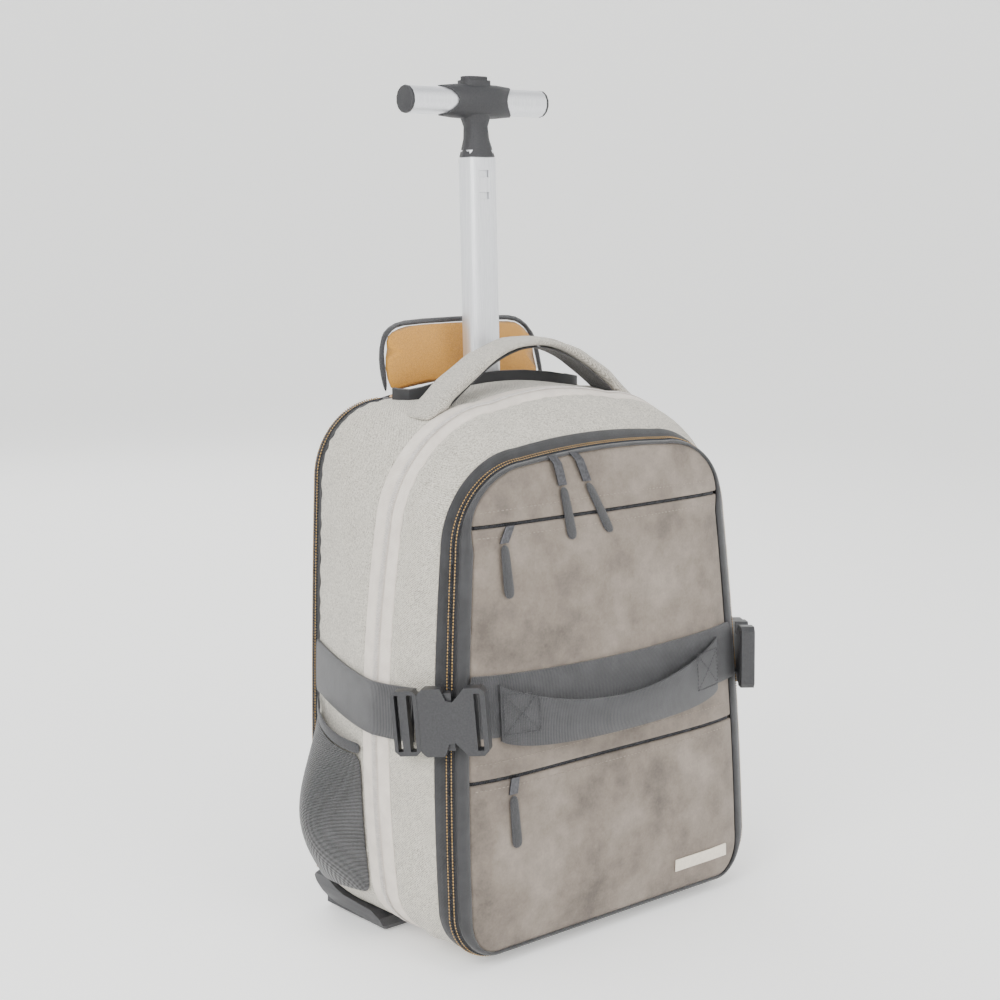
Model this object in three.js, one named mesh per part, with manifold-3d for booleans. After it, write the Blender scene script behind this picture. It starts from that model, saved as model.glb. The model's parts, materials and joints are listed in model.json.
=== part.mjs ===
// A wheeled backpack: a zipped cloth bag on two recessed wheels, with a telescopic tube handle,
// a compression strap with two side-release buckles, mesh side pockets and shoulder straps.
// Millimetres, +Z up, the bag's front faces -Y. It stands on its wheels and feet at z = 0.
import * as THREE from "three";
import { mergeVertices } from "three/addons/utils/BufferGeometryUtils.js";
import Module from "manifold-3d";

const wasm = await Module();
wasm.setup();

// Driving dimensions.
const gap = 0.3; // between pieces that touch on the real bag
const sewnGap = 0.8; // between a strap and the curved cloth below it
const bagWidth = 360;
const bagHeight = 457;
const rearDepth = 98; // from the middle zip back to the end of the cloth
const frontDepth = 77; // from the middle zip forward to the front zip
const frontLean = 26; // how far the front leans back at the top
const clothWall = 3;
const middleZipWidth = 36;
const coilRise = 1.2;
const rearZipReach = 14; // how far the rear zip stands behind the cloth
const rearZipRim = 14; // its width on the back face
const rearZipRound = 2.5; // where it turns onto the back
const rearZipWall = 3;
const frontSlump = 8; // how much lower the front's left top corner hangs than its right one
const frontZipSide = 12; // its width on the side face
const frontZipReach = 9;
const frontZipRim = 15.5; // its width on the front face, along the sides
const frontRimLeast = 3; // and along the top and bottom
const panelThickness = 3;
const panelCrown = 7;
const backPadCrown = 9;
const slitHeight = 3;
const upperSlitZ = 361;
const lowerSlitZ = 156;
const pocketZipWidth = 24;
const pocketZipThickness = 1.2;

const mastY = 90; // the handle's tubes at the height of the garage, behind the middle zip
const mastLean = 1.8; // degrees that the handle leans back
const mastWidth = 32;
const mastDepth = 18;
const mastCorner = 5;
const mastPivotDrop = 10; // from the bag's top down to where the handle starts to lean
const mastWall = 1.5;
const tubeClearance = 0.4;
const mastTop = 653;
const mastLength = 366;
const innerLength = 353;
const sleeveWall = 1.4;
const sleeveLift = 2; // above the cloth of the bag's floor
const garageWidth = 188;
const garageDepth = 36;
const garageWall = 1;
const garageCorner = 12;
const garageFloorZ = 385;
const lipHeight = 11;
const lipThickness = 3;
const lipStand = 4; // between the garage and the lip round it
const flapHeight = 60;
const flapLean = 15;
const flapThickness = 3;
const flapEdge = 5;
const flapCorner = 38;
const flapZipProud = 1.5; // how much thicker the zip is than the flap

const gripLength = 149;
const gripBack = 2; // how far the grip stands behind the tubes
const gripRadius = 12;
const gripZ = 701.5;
const gripWall = 2;
const endCapLength = 3;
const hubRadius = 15.5;
const hubEar = 39;
const hubNotch = 12;
const hubLip = 1.2; // the hub's wall at its ends
const neckLift = 0.5; // the neck's foot above the tube
const innerRise = 6; // how far the inner tube stands in the neck
const buttonFloorWall = 0.8; // between the grip bar and the button's well
const buttonLength = 26;
const buttonWidth = 13;
const buttonHeight = 5;
const buttonTravel = 3;
const bossWall = 1.5; // round the button
const bossRise = 2.5;
const holeWidth = 11;
const holeHeight = 6;
const holeDrops = [14, 33]; // the two lock holes, below the top of the tube

const wheelRadius = 25;
const wheelWidth = 20;
const wheelX = 145;
const wheelY = 94;
const tyreWall = 7;
const tyreRound = 3;
const hubBoss = 8;
const hubDish = 4; // how deep the wheel's hub is dished
const axleRadius = 3;
const axleClearance = 0.4;
const wellClearance = 3;
const wheelSideClearance = 1.5;
const housingCheek = 4;
const housingWall = 3; // between the well and the cloth beside it
const guardFront = 29; // behind the middle zip
const guardProud = 2; // how far the guard's foot stands out from the cloth
const guardLow = 21; // its height along the side
const guardHigh = 37; // its height at the rear corner
const guardHighRun = 18; // how far that height runs forward
const guardSlopeRun = 16; // and the slope from it down to the low part
const guardCorner = 6;
const basePlateThickness = 6;
const basePlateLift = 3;
const footLength = 220;
const footDepth = 14;
const footSetback = 16; // behind the front of the cloth

const webbingWidth = 44;
const webbingThickness = 2;
const frontStrapWidth = 50;
const strapRearZ = 226;
const strapFrontZ = 211;
const strapSag = 8; // how far the front strap rises from the middle to the corners
const loopBow = 12;
const loopWaist = 30;
const loopDrop = 20;
const loopInset = 54; // from the bag's side to the loop's end
const buckleAngle = 38; // degrees from the side face towards the front
const buckleRoll = 5; // degrees that its front end is raised
const buckleShift = -3; // its middle, forward of the bag's corner
const buckleThickness = 12;
const buckleWidth = 55;
const buckleBodyLength = 55;
const ladderLength = 22;
const buckleSkin = 2.5;
const buckleCorner = 4;
const notchShares = [0.33, 0.73]; // where the notches lie along the body
const notchDepth = 11;
const prongReach = 9; // from a notch's start to a prong's end
const prongEdge = 4; // from a prong to the side of the body
const slotWidth = 5;
const slotEdge = 4; // from the slot to the front end
const ladderWindows = [[3, 7], [13, 18]]; // from the latch's rear end

const handleSpan = 218;
const handleRise = 47;
const handleWidth = 34;
const handlePad = 8;
const handleWebbing = 1.8;
const handleWebbingWidth = 26;
const archSpread = 12; // how far the arch runs on into the cloth

const pocketLow = 43;
const pocketRearTop = 191;
const pocketFrontTop = 166;
const pocketBulge = 40;
const pocketMouth = 9;
const meshThickness = 1.2;
const bindingHeight = 10;
const bindingThickness = 2.4;

const pullTabWidth = 9;
const pullTabLength = 25;
const pullTabThickness = 2;
const pullLift = 2; // how far a pull's upper end stands off the front zip
const pullTapeWidth = 12;
const pullTapeLength = 46;
const pullTapeThickness = 3;
const badgeWidth = 66;
const badgeHeight = 11;
const badgeThickness = 1;

const shoulderInset = 62;
const shoulderSpread = 22;
const shoulderWidth = 58;
const shoulderPad = 11;
const shoulderTopZ = 425;
const shoulderEndZ = 175;
const shoulderArch = 9;
const shoulderWebbing = 25;
const adjusterLength = 30;
const adjusterSide = 4; // from the webbing to the adjuster's side
const adjusterThickness = 4;
const adjusterSlots = [[-7, -3], [3, 7]];

// The bag's outline at three depths, as shares: the half-widths and the side's bulge of half the bag's
// width, the heights and crown of its height, the corner radii of its width.
const sections = {
  rear: {
    topHalf: 0.93, lowHalf: 0.972, bulge: 0.02, low: 0.026, high: 1, crown: 0.024, topR: 0.17, lowR: 0.125,
  },
  middle: {
    topHalf: 0.87, lowHalf: 0.955, bulge: 0.145, low: 0.022, high: 1, crown: 0.018, topR: 0.25, lowR: 0.125,
  },
  front: {
    topHalf: 0.84, lowHalf: 0.937, bulge: 0.04,
    low: 0.02, high: 0.915, crown: 0.009, topR: 0.195, lowR: 0.107,
  },
};
const sectionEase = 1.5; // the sides leave the middle zip smoothly

const leather = new THREE.MeshStandardMaterial({ color: 0x6b6159, roughness: 0.8 });
const twill = new THREE.MeshStandardMaterial({ color: 0xb5b1a5, roughness: 0.95 });
const beigeTape = new THREE.MeshStandardMaterial({ color: 0xcfc3b8, roughness: 0.85 });
const blackCloth = new THREE.MeshStandardMaterial({ color: 0x1d1d20, roughness: 0.85 });
const webbingCloth = new THREE.MeshStandardMaterial({ color: 0x17171a, roughness: 0.6 });
const blackMesh = new THREE.MeshStandardMaterial({ color: 0x1a1a1a, roughness: 0.9 });
const mustard = new THREE.MeshStandardMaterial({ color: 0xc98a22, roughness: 0.7 });
const blackPlastic = new THREE.MeshStandardMaterial({ color: 0x222225, roughness: 0.45 });
const aluminium = new THREE.MeshStandardMaterial({ color: 0xd8dadd, roughness: 0.3, metalness: 0.9 });
const gunmetal = new THREE.MeshStandardMaterial({ color: 0x3a3a3e, roughness: 0.4, metalness: 0.7 });
const rubber = new THREE.MeshStandardMaterial({ color: 0x151515, roughness: 0.8 });

// Mesh and solid helpers.

// The triangles of a closed body, turned if they face inwards.
function facingOut(geometry) {
  const corner = (i) => new THREE.Vector3().fromBufferAttribute(geometry.attributes.position, i);
  const index = Array.from(geometry.index.array);
  let volume = 0;
  for (let i = 0; i < index.length; i += 3)
    volume += corner(index[i]).dot(corner(index[i + 1]).cross(corner(index[i + 2])));
  return volume < 0 ? geometry.setIndex(index.reverse()) : geometry;
}

function closedGeometry(points, triangles) {
  const geometry = new THREE.BufferGeometry();
  const numbers = points.flatMap((p) => p.toArray());
  geometry.setAttribute("position", new THREE.Float32BufferAttribute(numbers, 3));
  return facingOut(geometry.setIndex(triangles.flat()));
}

// A wall between two grids of points with the same rows and columns. With ring set, the last row
// joins the first; otherwise the rows end in flat edges.
function wall(outer, inner, ring = false) {
  const rows = outer.length;
  const columns = outer[0].length;
  const points = [...outer.flat(), ...inner.flat()];
  const out = (r, c) => (r % rows) * columns + c;
  const inn = (r, c) => rows * columns + out(r, c);
  const triangles = [];
  const quad = (a, b, c, d) => triangles.push([a, b, c], [a, c, d]);
  const lastRow = ring ? rows : rows - 1;
  for (let r = 0; r < lastRow; r++) {
    for (let c = 0; c < columns - 1; c++) {
      quad(out(r, c), out(r + 1, c), out(r + 1, c + 1), out(r, c + 1));
      quad(inn(r, c), inn(r, c + 1), inn(r + 1, c + 1), inn(r + 1, c));
    }
    quad(out(r, 0), inn(r, 0), inn(r + 1, 0), out(r + 1, 0));
    quad(out(r, columns - 1), out(r + 1, columns - 1), inn(r + 1, columns - 1), inn(r, columns - 1));
  }
  if (!ring)
    for (let c = 0; c < columns - 1; c++) {
      quad(out(0, c), out(0, c + 1), inn(0, c + 1), inn(0, c));
      quad(out(rows - 1, c), inn(rows - 1, c), inn(rows - 1, c + 1), out(rows - 1, c + 1));
    }
  return closedGeometry(points, triangles);
}

// A pad between two stacks of loops, from the rim to the last loop, which a point closes.
function pad(outerLoops, outerCentre, innerLoops, innerCentre) {
  const count = outerLoops[0].length;
  const loops = [...innerLoops.slice().reverse(), ...outerLoops];
  const points = [...loops.flat(), innerCentre, outerCentre];
  const triangles = [];
  for (let r = 0; r < loops.length - 1; r++)
    for (let i = 0; i < count; i++) {
      const j = (i + 1) % count;
      const [a, b] = [r * count, (r + 1) * count];
      triangles.push([a + i, a + j, b + j], [a + i, b + j, b + i]);
    }
  const first = loops.length * count;
  const top = (loops.length - 1) * count;
  for (let i = 0; i < count; i++) {
    const j = (i + 1) % count;
    triangles.push([first, j, i], [first + 1, top + i, top + j]);
  }
  return closedGeometry(points, triangles);
}

function toSolid(geometry) {
  const bare = geometry.clone();
  for (const name of Object.keys(bare.attributes)) if (name !== "position") bare.deleteAttribute(name);
  const merged = mergeVertices(bare, 1e-4);
  const { array } = merged.attributes.position;
  return new wasm.Manifold(
    new wasm.Mesh({ numProp: 3, vertProperties: array, triVerts: new Uint32Array(merged.index.array) }),
  );
}

function fromSolid(solid) {
  const mesh = solid.getMesh();
  const positions = new Float32Array(mesh.numVert * 3);
  for (let i = 0; i < mesh.numVert; i++)
    positions.set(mesh.vertProperties.subarray(i * mesh.numProp, i * mesh.numProp + 3), i * 3);
  const geometry = new THREE.BufferGeometry();
  geometry.setAttribute("position", new THREE.BufferAttribute(positions, 3));
  return geometry.setIndex(new THREE.BufferAttribute(new Uint32Array(mesh.triVerts), 1));
}

const cut = (geometry, ...tools) =>
  fromSolid(tools.reduce((s, t) => s.subtract(toSolid(t)), toSolid(geometry)));
const joined = (...parts) => fromSolid(parts.map(toSolid).reduce((a, b) => a.add(b)));
const common = (a, b) => fromSolid(toSolid(a).intersect(toSolid(b)));

function block(x0, x1, y0, y1, z0, z1) {
  const box = new THREE.BoxGeometry(x1 - x0, y1 - y0, z1 - z0);
  return box.translate((x0 + x1) / 2, (y0 + y1) / 2, (z0 + z1) / 2);
}

// A shape whose corners are rounded to the given radius.
function roundedShape(corners, radius, Kind = THREE.Shape) {
  const shape = new Kind();
  const ends = corners.map(([x, y], i) => {
    const here = new THREE.Vector2(x, y);
    const before = new THREE.Vector2(...corners[(i + corners.length - 1) % corners.length]);
    const after = new THREE.Vector2(...corners[(i + 1) % corners.length]);
    const r = Math.min(radius, here.distanceTo(before) / 2.01, here.distanceTo(after) / 2.01);
    const step = (to) => here.clone().add(to.clone().sub(here).setLength(r));
    return { here, from: step(before), to: step(after) };
  });
  shape.moveTo(ends[0].to.x, ends[0].to.y);
  for (const { here, from, to } of [...ends.slice(1), ends[0]]) {
    shape.lineTo(from.x, from.y);
    shape.quadraticCurveTo(here.x, here.y, to.x, to.y);
  }
  return shape;
}

const rectangle = (x0, x1, y0, y1) => [[x0, y0], [x1, y0], [x1, y1], [x0, y1]];
const shapeOf = (corners) => new THREE.Shape(corners.map((p) => new THREE.Vector2(...p)));
const extrude = (shape, depth, curveSegments = 3) =>
  new THREE.ExtrudeGeometry(shape, { depth, bevelEnabled: false, curveSegments });
// A prism along X from a shape in (Y, Z), along Y from one in (X, Z), and along Z from one in (X, Y).
const matrix = (...rows) => new THREE.Matrix4().set(...rows, 0, 0, 0, 1);
const alongX = (shape, x0, x1, segments) =>
  extrude(shape, x1 - x0, segments).applyMatrix4(matrix(0, 0, 1, x0, 1, 0, 0, 0, 0, 1, 0, 0));
const alongY = (shape, y0, y1, segments) =>
  extrude(shape, y1 - y0, segments).applyMatrix4(matrix(1, 0, 0, 0, 0, 0, -1, y1, 0, 1, 0, 0));
const alongZ = (shape, z0, z1, segments) => extrude(shape, z1 - z0, segments).translate(0, 0, z0);

// A ring or disc round the X axis, from a closed profile of [distance along X, radius].
function turnedX(profile, sides = 24) {
  const points = profile.map(([x, r]) => new THREE.Vector2(r, x));
  return facingOut(new THREE.LatheGeometry([...points, points[0]], sides).rotateZ(-Math.PI / 2));
}

const mix = (a, b, t) => a + (b - a) * t;
const steps = (from, to, count) => Array.from({ length: count + 1 }, (_, i) => mix(from, to, i / count));

// The bag's surface.

const rearY = rearDepth;
const frontY = -frontDepth;

// The outline's sizes in millimetres at a depth y behind the middle zip.
function sectionAt(y) {
  const [other, reach] = y > 0 ? [sections.rear, rearDepth] : [sections.front, frontDepth];
  const t = Math.min(Math.abs(y) / reach, 1) ** sectionEase;
  const share = (key) => mix(sections.middle[key], other[key], t);
  const half = bagWidth / 2;
  return {
    topHalf: share("topHalf") * half,
    lowHalf: share("lowHalf") * half,
    bulge: share("bulge") * half,
    low: share("low") * bagHeight,
    high: share("high") * bagHeight,
    crown: share("crown") * bagHeight,
    topR: share("topR") * bagWidth,
    lowR: share("lowR") * bagWidth,
  };
}

// How far back a point of the leaning front lies, by its depth and height.
const leanAt = (y, z) => (frontLean * Math.min(Math.max(-y / frontDepth, 0), 1) * z) / bagHeight;

// Half the width of the bag on its straight side, at a depth and height.
function halfWidthAt(y, z) {
  const s = sectionAt(y);
  const k = (z - s.low - s.lowR) / (s.high - s.crown - s.topR - s.low - s.lowR);
  const rise = (z - s.low) / (s.high - s.low);
  return mix(s.lowHalf, s.topHalf, k) + s.bulge * (1 - (2 * rise - 1) ** 2);
}

// The right half of the outline as [x, z], from the middle of the bottom to the middle of the top.
function halfOutline(y) {
  const s = sectionAt(y);
  const cornerLow = [s.lowHalf - s.lowR, s.low + s.lowR];
  const cornerTop = [s.topHalf - s.topR, s.high - s.crown - s.topR];
  const bottom = steps(0, cornerLow[0], 2).slice(0, -1).map((x) => [x, s.low]);
  const lowTurn = steps(-90, 0, 3).map((a) => polar(cornerLow, s.lowR, a));
  const side = steps(cornerLow[1], cornerTop[1], 6).slice(1, -1).map((z) => {
    const k = (z - cornerLow[1]) / (cornerTop[1] - cornerLow[1]);
    return [mix(s.lowHalf, s.topHalf, k), z];
  });
  const topTurn = steps(0, 90, 5).map((a) => polar(cornerTop, s.topR, a));
  const crownAt = (x) => s.high - s.crown * (x / cornerTop[0]) ** 2;
  const top = steps(cornerTop[0], 0, 3).slice(1).map((x) => [x, crownAt(x)]);
  const bulged = (points) => points.map(([x, z]) => {
    const rise = (z - s.low) / (s.high - s.low);
    return [x * (1 + (s.bulge / s.lowHalf) * (1 - (2 * rise - 1) ** 2)), z];
  });
  return bulged([...bottom, ...lowTurn, ...side, ...topTurn, ...top]);
}

function polar([x, z], radius, degrees) {
  const a = THREE.MathUtils.degToRad(degrees);
  return [x + radius * Math.cos(a), z + radius * Math.sin(a)];
}

// How far the cloth hangs below its even outline, by its depth, side and height.
function slumpAt(y, x, z) {
  const depth = Math.min(Math.max(-y / frontDepth, 0), 1) ** sectionEase;
  const rise = Math.max(z / sectionAt(y).high, 0) ** 3;
  const left = Math.min(Math.max(0.5 - x / bagWidth, 0), 1) ** 1.2;
  return frontSlump * depth * rise * left;
}

// One closed loop of the bag's surface at a depth, moved out by grow and carried onto the leaning
// plane of that depth. It runs from the bottom's middle up the right side and down the left. grow may be
// a function of the way out in X and Z.
function loopAt(y, grow = 0, at = y) {
  const half = halfOutline(y);
  const even = [...half, ...half.slice(1, -1).reverse().map(([x, z]) => [-x, z])];
  const points = even.map(([x, z]) => [x, z - slumpAt(y, x, z)]);
  return points.map(([x, z], i) => {
    const [ax, az] = points[(i + points.length - 1) % points.length];
    const [bx, bz] = points[(i + 1) % points.length];
    const length = Math.hypot(bx - ax, bz - az);
    const [outX, outZ] = [(bz - az) / length, (ax - bx) / length];
    const reach = typeof grow === "function" ? grow(outX, outZ) : grow;
    const pz = z + reach * outZ;
    return new THREE.Vector3(x + reach * outX, at + leanAt(y, pz), pz);
  });
}

// The front zip's rim is wide along the sides and narrows to the top and bottom. This draws a loop in by
// a share of the rim and by a fixed distance more.
const drawnIn = (share, more) => (outX, outZ) => {
  const side = Math.abs(outX) ** (outZ > 0 ? 8 : 2);
  return -share * mix(frontRimLeast, frontZipRim, side) - more;
};

// A ring round the bag. The outer and inner lists hold [depth, grow] pairs of its cross-section.
function ringBand(outer, inner) {
  const grid = (list) => {
    const loops = list.map(([y, grow]) => loopAt(Math.min(Math.max(y, frontY), rearY), grow, y));
    return loops[0].map((_, i) => loops.map((loop) => loop[i]));
  };
  return wall(grid(outer), grid(inner), true);
}

// The bag as one filled block, moved out by grow, to trim what stands on it.
function filledBag(grow, y0, y1) {
  const loops = steps(y0, y1, 4).map((y) => loopAt(y, grow));
  const ends = [loops[0], loops.at(-1)].map((l) => new THREE.Vector3(0, l[0].y, bagHeight / 2));
  const count = loops[0].length;
  const points = [...loops.flat(), ...ends];
  const triangles = [];
  for (let r = 0; r < loops.length - 1; r++)
    for (let i = 0; i < count; i++) {
      const j = (i + 1) % count;
      const [a, b] = [r * count, (r + 1) * count];
      triangles.push([a + i, a + j, b + j], [a + i, b + j, b + i]);
    }
  const last = (loops.length - 1) * count;
  for (let i = 0; i < count; i++) {
    const j = (i + 1) % count;
    triangles.push([points.length - 2, j, i], [points.length - 1, last + i, last + j]);
  }
  return closedGeometry(points, triangles);
}

// A crowned face that closes the bag's front or back. Its rim is the bag's loop at y, moved by grow,
// lying at depth at; the crown rises towards the centre in the given direction, and back gives how far
// behind that surface the inner one lies.
const faceShares = [1, 0.96, 0.82, 0.5];
function crownedFace(y, grow, at, crown, direction, front, back) {
  const rim = loopAt(y, grow, at);
  const centre = new THREE.Vector3(0, at + leanAt(y, bagHeight / 2), bagHeight / 2);
  const loopOf = (k, offset) => rim.map((p) => {
    const q = centre.clone().lerp(p, k);
    q.y = at + leanAt(y, q.z) + direction * (crown * (1 - k ** 6) - offset);
    return q;
  });
  const tip = (offset) => centre.clone().setY(centre.y + direction * (crown - offset));
  const loops = (offset) => faceShares.map((k) => loopOf(k, offset));
  return pad(loops(front), tip(front), loops(back), tip(back));
}

// The depth of the leather face in front of a point, for what lies on it.
function leatherY(x, z) {
  const sideShare = Math.abs(x) / (halfWidthAt(frontY, bagHeight / 2) - frontZipRim);
  const { high, low } = sectionAt(frontY);
  const reach = z > bagHeight / 2 ? high - bagHeight / 2 : bagHeight / 2 - low;
  const k = Math.min(Math.max(sideShare, Math.abs(z - bagHeight / 2) / reach), 1);
  return frontY - frontZipReach + leanAt(frontY, z) - panelCrown * (1 - k ** 6);
}

const root = new THREE.Group();
function add(name, geometry, material, parent = root) {
  const mesh = new THREE.Mesh(geometry, material);
  mesh.name = name;
  parent.add(mesh);
  return mesh;
}
// Both sides of a pair: the geometry as made is the left one, and the right one is its mirror image.
function mirrored(geometry) {
  const solid = toSolid(geometry).mirror([1, 0, 0]);
  return fromSolid(solid);
}
function addPair(name, geometry, material, parents = [root, root]) {
  add(`${name}_left`, geometry, material, parents[0]);
  add(`${name}_right`, mirrored(geometry), material, parents[1]);
}

// The wheel housings: a box inside the cloth round a well for the wheel, and a low guard that wraps the
// bag's rounded corner outside it. The guard's outline in X-Z and its side view in Y-Z are extruded and
// intersected.
function disc(radius, x0, x1, sides) {
  const cylinder = new THREE.CylinderGeometry(radius, radius, x1 - x0, sides).rotateZ(Math.PI / 2);
  return cylinder.translate((x0 + x1) / 2, 0, 0);
}
const wellRadius = wheelRadius + wellClearance;
const wellHalf = wheelWidth / 2 + wheelSideClearance;
const wellSpan = [-wheelX - wellHalf, -wheelX + wellHalf];
const housingOuter = wellSpan[0] - housingWall;
const housingInner = wellSpan[1] + housingCheek;
const housingFront = wheelY - wellRadius - housingCheek;
const housingRear = wheelY + wheelRadius - 5;
const housingTop = wheelRadius + wellRadius + housingCheek;
const housingBox = block(housingOuter, housingInner, housingFront, housingRear, basePlateLift, housingTop);
const guardOut = -(bagWidth / 2) * sections.rear.lowHalf;
const guardProfile = [
  [guardOut, guardHigh], [guardOut + 7 - guardProud, guardLow], [guardOut + 13 - guardProud, 10],
  [guardOut + 17 - guardProud, 4], [guardOut + 21 - guardProud, 0],
  [housingInner, 0], [housingInner, guardHigh],
];
const guardSide = [
  [guardFront, 0], [guardFront + 34, 0], [guardFront + 42, 6], [housingRear - 14, 7],
  [housingRear, 20], [housingRear, guardHigh],
  [housingRear - guardHighRun, guardHigh], [housingRear - guardHighRun - guardSlopeRun, guardLow + 3],
  [guardFront, guardLow - 1],
];
const guardBlock = common(
  alongY(roundedShape(guardProfile, 3), guardFront - 1, housingRear + 1, 1),
  alongX(roundedShape(guardSide, guardCorner), guardOut - 1, housingInner, 1),
);
const well = disc(wellRadius, ...wellSpan, 20).translate(0, wheelY, wheelRadius);
const wellMouth = block(...wellSpan, wheelY, housingRear + 20, -20, wheelRadius);
const axle = disc(axleRadius, wellSpan[0] - 1, wellSpan[1] + 1, 12).translate(0, wheelY, wheelRadius);
const housing = joined(cut(joined(guardBlock, housingBox), well, wellMouth), axle);
// What the cloth leaves free for the left housing, and its mirror image for the right one. It also
// clears the rounded foot of the guard's slope.
const boxRoom = block(
  housingOuter - gap, housingInner + gap, housingFront - gap, housingRear + 60, -30, housingTop + gap,
);
const guardRoomSide = [
  [guardFront - gap, -30], [housingRear + 60, -30], [housingRear + 60, guardHigh + gap],
  [housingRear - guardHighRun - gap, guardHigh + gap],
  [housingRear - guardHighRun - guardSlopeRun - guardCorner / 2, guardLow + 5 + gap],
  [guardFront - gap, guardLow - 1 + gap],
];
const guardRoom = alongX(shapeOf(guardRoomSide), guardOut - 30, housingInner + gap);
const housingRoom = joined(boxRoom, guardRoom);
const housingRooms = [housingRoom, mirrored(housingRoom)];

// The handle's tubes.
const tubeShape = (grow, hole) => {
  const w = mastWidth / 2 + grow;
  const d = mastDepth / 2 + grow;
  const shape = roundedShape(rectangle(-w, w, -d, d), mastCorner + grow);
  if (hole !== undefined) {
    const [hw, hd] = [mastWidth / 2 + hole, mastDepth / 2 + hole];
    const corner = Math.max(mastCorner + hole, 1);
    shape.holes.push(roundedShape(rectangle(-hw, hw, -hd, hd), corner, THREE.Path));
  }
  return shape;
};
const mastRun = (shape, z0, z1) => alongZ(shape, z0, z1, 2).translate(0, mastY, 0);
// The handle leans back about a line across the garage; its pieces are made upright in this group.
const mastPivot = new THREE.Vector3(0, mastY, bagHeight - mastPivotDrop);
const mastTurn = new THREE.Matrix4().makeRotationX(-THREE.MathUtils.degToRad(mastLean));
const mastShift = mastPivot.clone().sub(mastPivot.clone().applyMatrix4(mastTurn));
const mastPlace = new THREE.Matrix4().setPosition(mastShift);
const mastMatrix = mastPlace.multiply(mastTurn);
const mast = new THREE.Group();
mast.applyMatrix4(mastMatrix);
root.add(mast);
// A square end of the leaning tube reaches this much nearer a level floor at one edge.
const sleeveHalfDepth = mastDepth / 2 + tubeClearance + sleeveWall;
const leanReach = Math.tan(THREE.MathUtils.degToRad(mastLean)) * sleeveHalfDepth;
const sleeveFoot = sections.rear.low * bagHeight + clothWall + sleeveLift;
const gripY = mastY + gripBack;
const garageY = [gripY - garageDepth / 2, gripY + garageDepth / 2];

// The cloth body.
const middleHalf = middleZipWidth / 2;
const shellBand = (y0, y1, count) =>
  ringBand(steps(y0, y1, count).map((y) => [y, 0]), steps(y0, y1, count).map((y) => [y, -clothWall]));
function garageMouth(grow, z0, z1) {
  const half = garageWidth / 2 + grow;
  const corners = rectangle(-half, half, garageY[0] - grow, garageY[1] + grow);
  return alongZ(roundedShape(corners, garageCorner), z0, z1);
}
const overBag = bagHeight + 40;
const mouthRoom = garageMouth(gap, garageFloorZ, overBag);
add("rear_shell", cut(shellBand(middleHalf + gap, rearY, 3), ...housingRooms, mouthRoom), twill);
add("front_shell", shellBand(-middleHalf - gap, frontY + frontZipSide + gap, 3), twill);
add("middle_zip", ringBand(
  [[middleHalf, 0], [0, coilRise], [-middleHalf, 0]],
  [[middleHalf, -clothWall], [0, -clothWall], [-middleHalf, -clothWall]],
), beigeTape);
// The front zip turns from the side face onto the front one; its sections give shares of its reach in
// front of the cloth and of its width on the front, and how far the inner face lies within the outer one.
const zipTurn = [
  { reach: -1 / 3, rim: 0, innerReach: -1 / 3, within: clothWall },
  { reach: 0.444, rim: 0.235, innerReach: 0.167, within: 2.2 },
  { reach: 0.833, rim: 0.618, innerReach: 0.5, within: 1.2 },
  { reach: 1, rim: 1, innerReach: 0.667, within: 0 },
];
add("front_zip", ringBand(
  [[frontY + frontZipSide, 0], ...zipTurn.map((r) => [frontY - frontZipReach * r.reach, drawnIn(r.rim, 0)])],
  [
    [frontY + frontZipSide, -clothWall],
    ...zipTurn.map((r) => [frontY - frontZipReach * r.innerReach, drawnIn(r.rim, r.within)]),
  ],
), blackCloth);
// The rear zip runs on from the side face and turns onto the back.
const backY = rearY + rearZipReach;
const [zipBackIn, zipRoundIn] = [backY - rearZipWall, rearZipRound + 1];
const rearZipRing = ringBand(
  [[rearY + gap, 0], [backY - rearZipRound, 0], [backY, -zipRoundIn], [backY, -rearZipRim]],
  [
    [rearY + gap, -rearZipWall], [zipBackIn - 1.5, -rearZipWall],
    [zipBackIn, -zipRoundIn - rearZipWall], [zipBackIn, -rearZipRim],
  ],
);
const belowGuards = block(-bagWidth, bagWidth, rearY - 1, backY + 20, -10, guardHigh + 2);
add("rear_zip", cut(rearZipRing, belowGuards, ...housingRooms, mouthRoom), blackCloth);

// The leather front: one crowned face, slit twice for the pockets.
const faceY = frontY - frontZipReach;
const face = (front, back) => crownedFace(frontY, drawnIn(1, gap), faceY, panelCrown, -1, front, back);
const slab = (z0, z1) => block(-bagWidth, bagWidth, faceY - 60, faceY + 80, z0, z1);
const leatherFace = face(0, panelThickness);
const half = slitHeight / 2;
add("front_yoke", common(leatherFace, slab(upperSlitZ + half, bagHeight)), leather);
add("front_middle_panel", common(leatherFace, slab(lowerSlitZ + half, upperSlitZ - half)), leather);
add("front_lower_panel", common(leatherFace, slab(-10, lowerSlitZ - half)), leather);
const pocketFace = face(panelThickness + gap, panelThickness + gap + pocketZipThickness);
const pocketZip = (z) => common(pocketFace, slab(z - pocketZipWidth / 2, z + pocketZipWidth / 2));
add("upper_pocket_zip", pocketZip(upperSlitZ), blackCloth);
add("lower_pocket_zip", pocketZip(lowerSlitZ), blackCloth);

// The padded back.
const backPad = crownedFace(rearY, -rearZipRim - gap, backY, backPadCrown, 1, 0, backPadCrown + 4);
const backInner = block(-bagWidth, bagWidth, backY - 1, backY + 80, -10, bagHeight + 10);
add("back_panel", cut(common(backPad, backInner), ...housingRooms), blackMesh);

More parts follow.
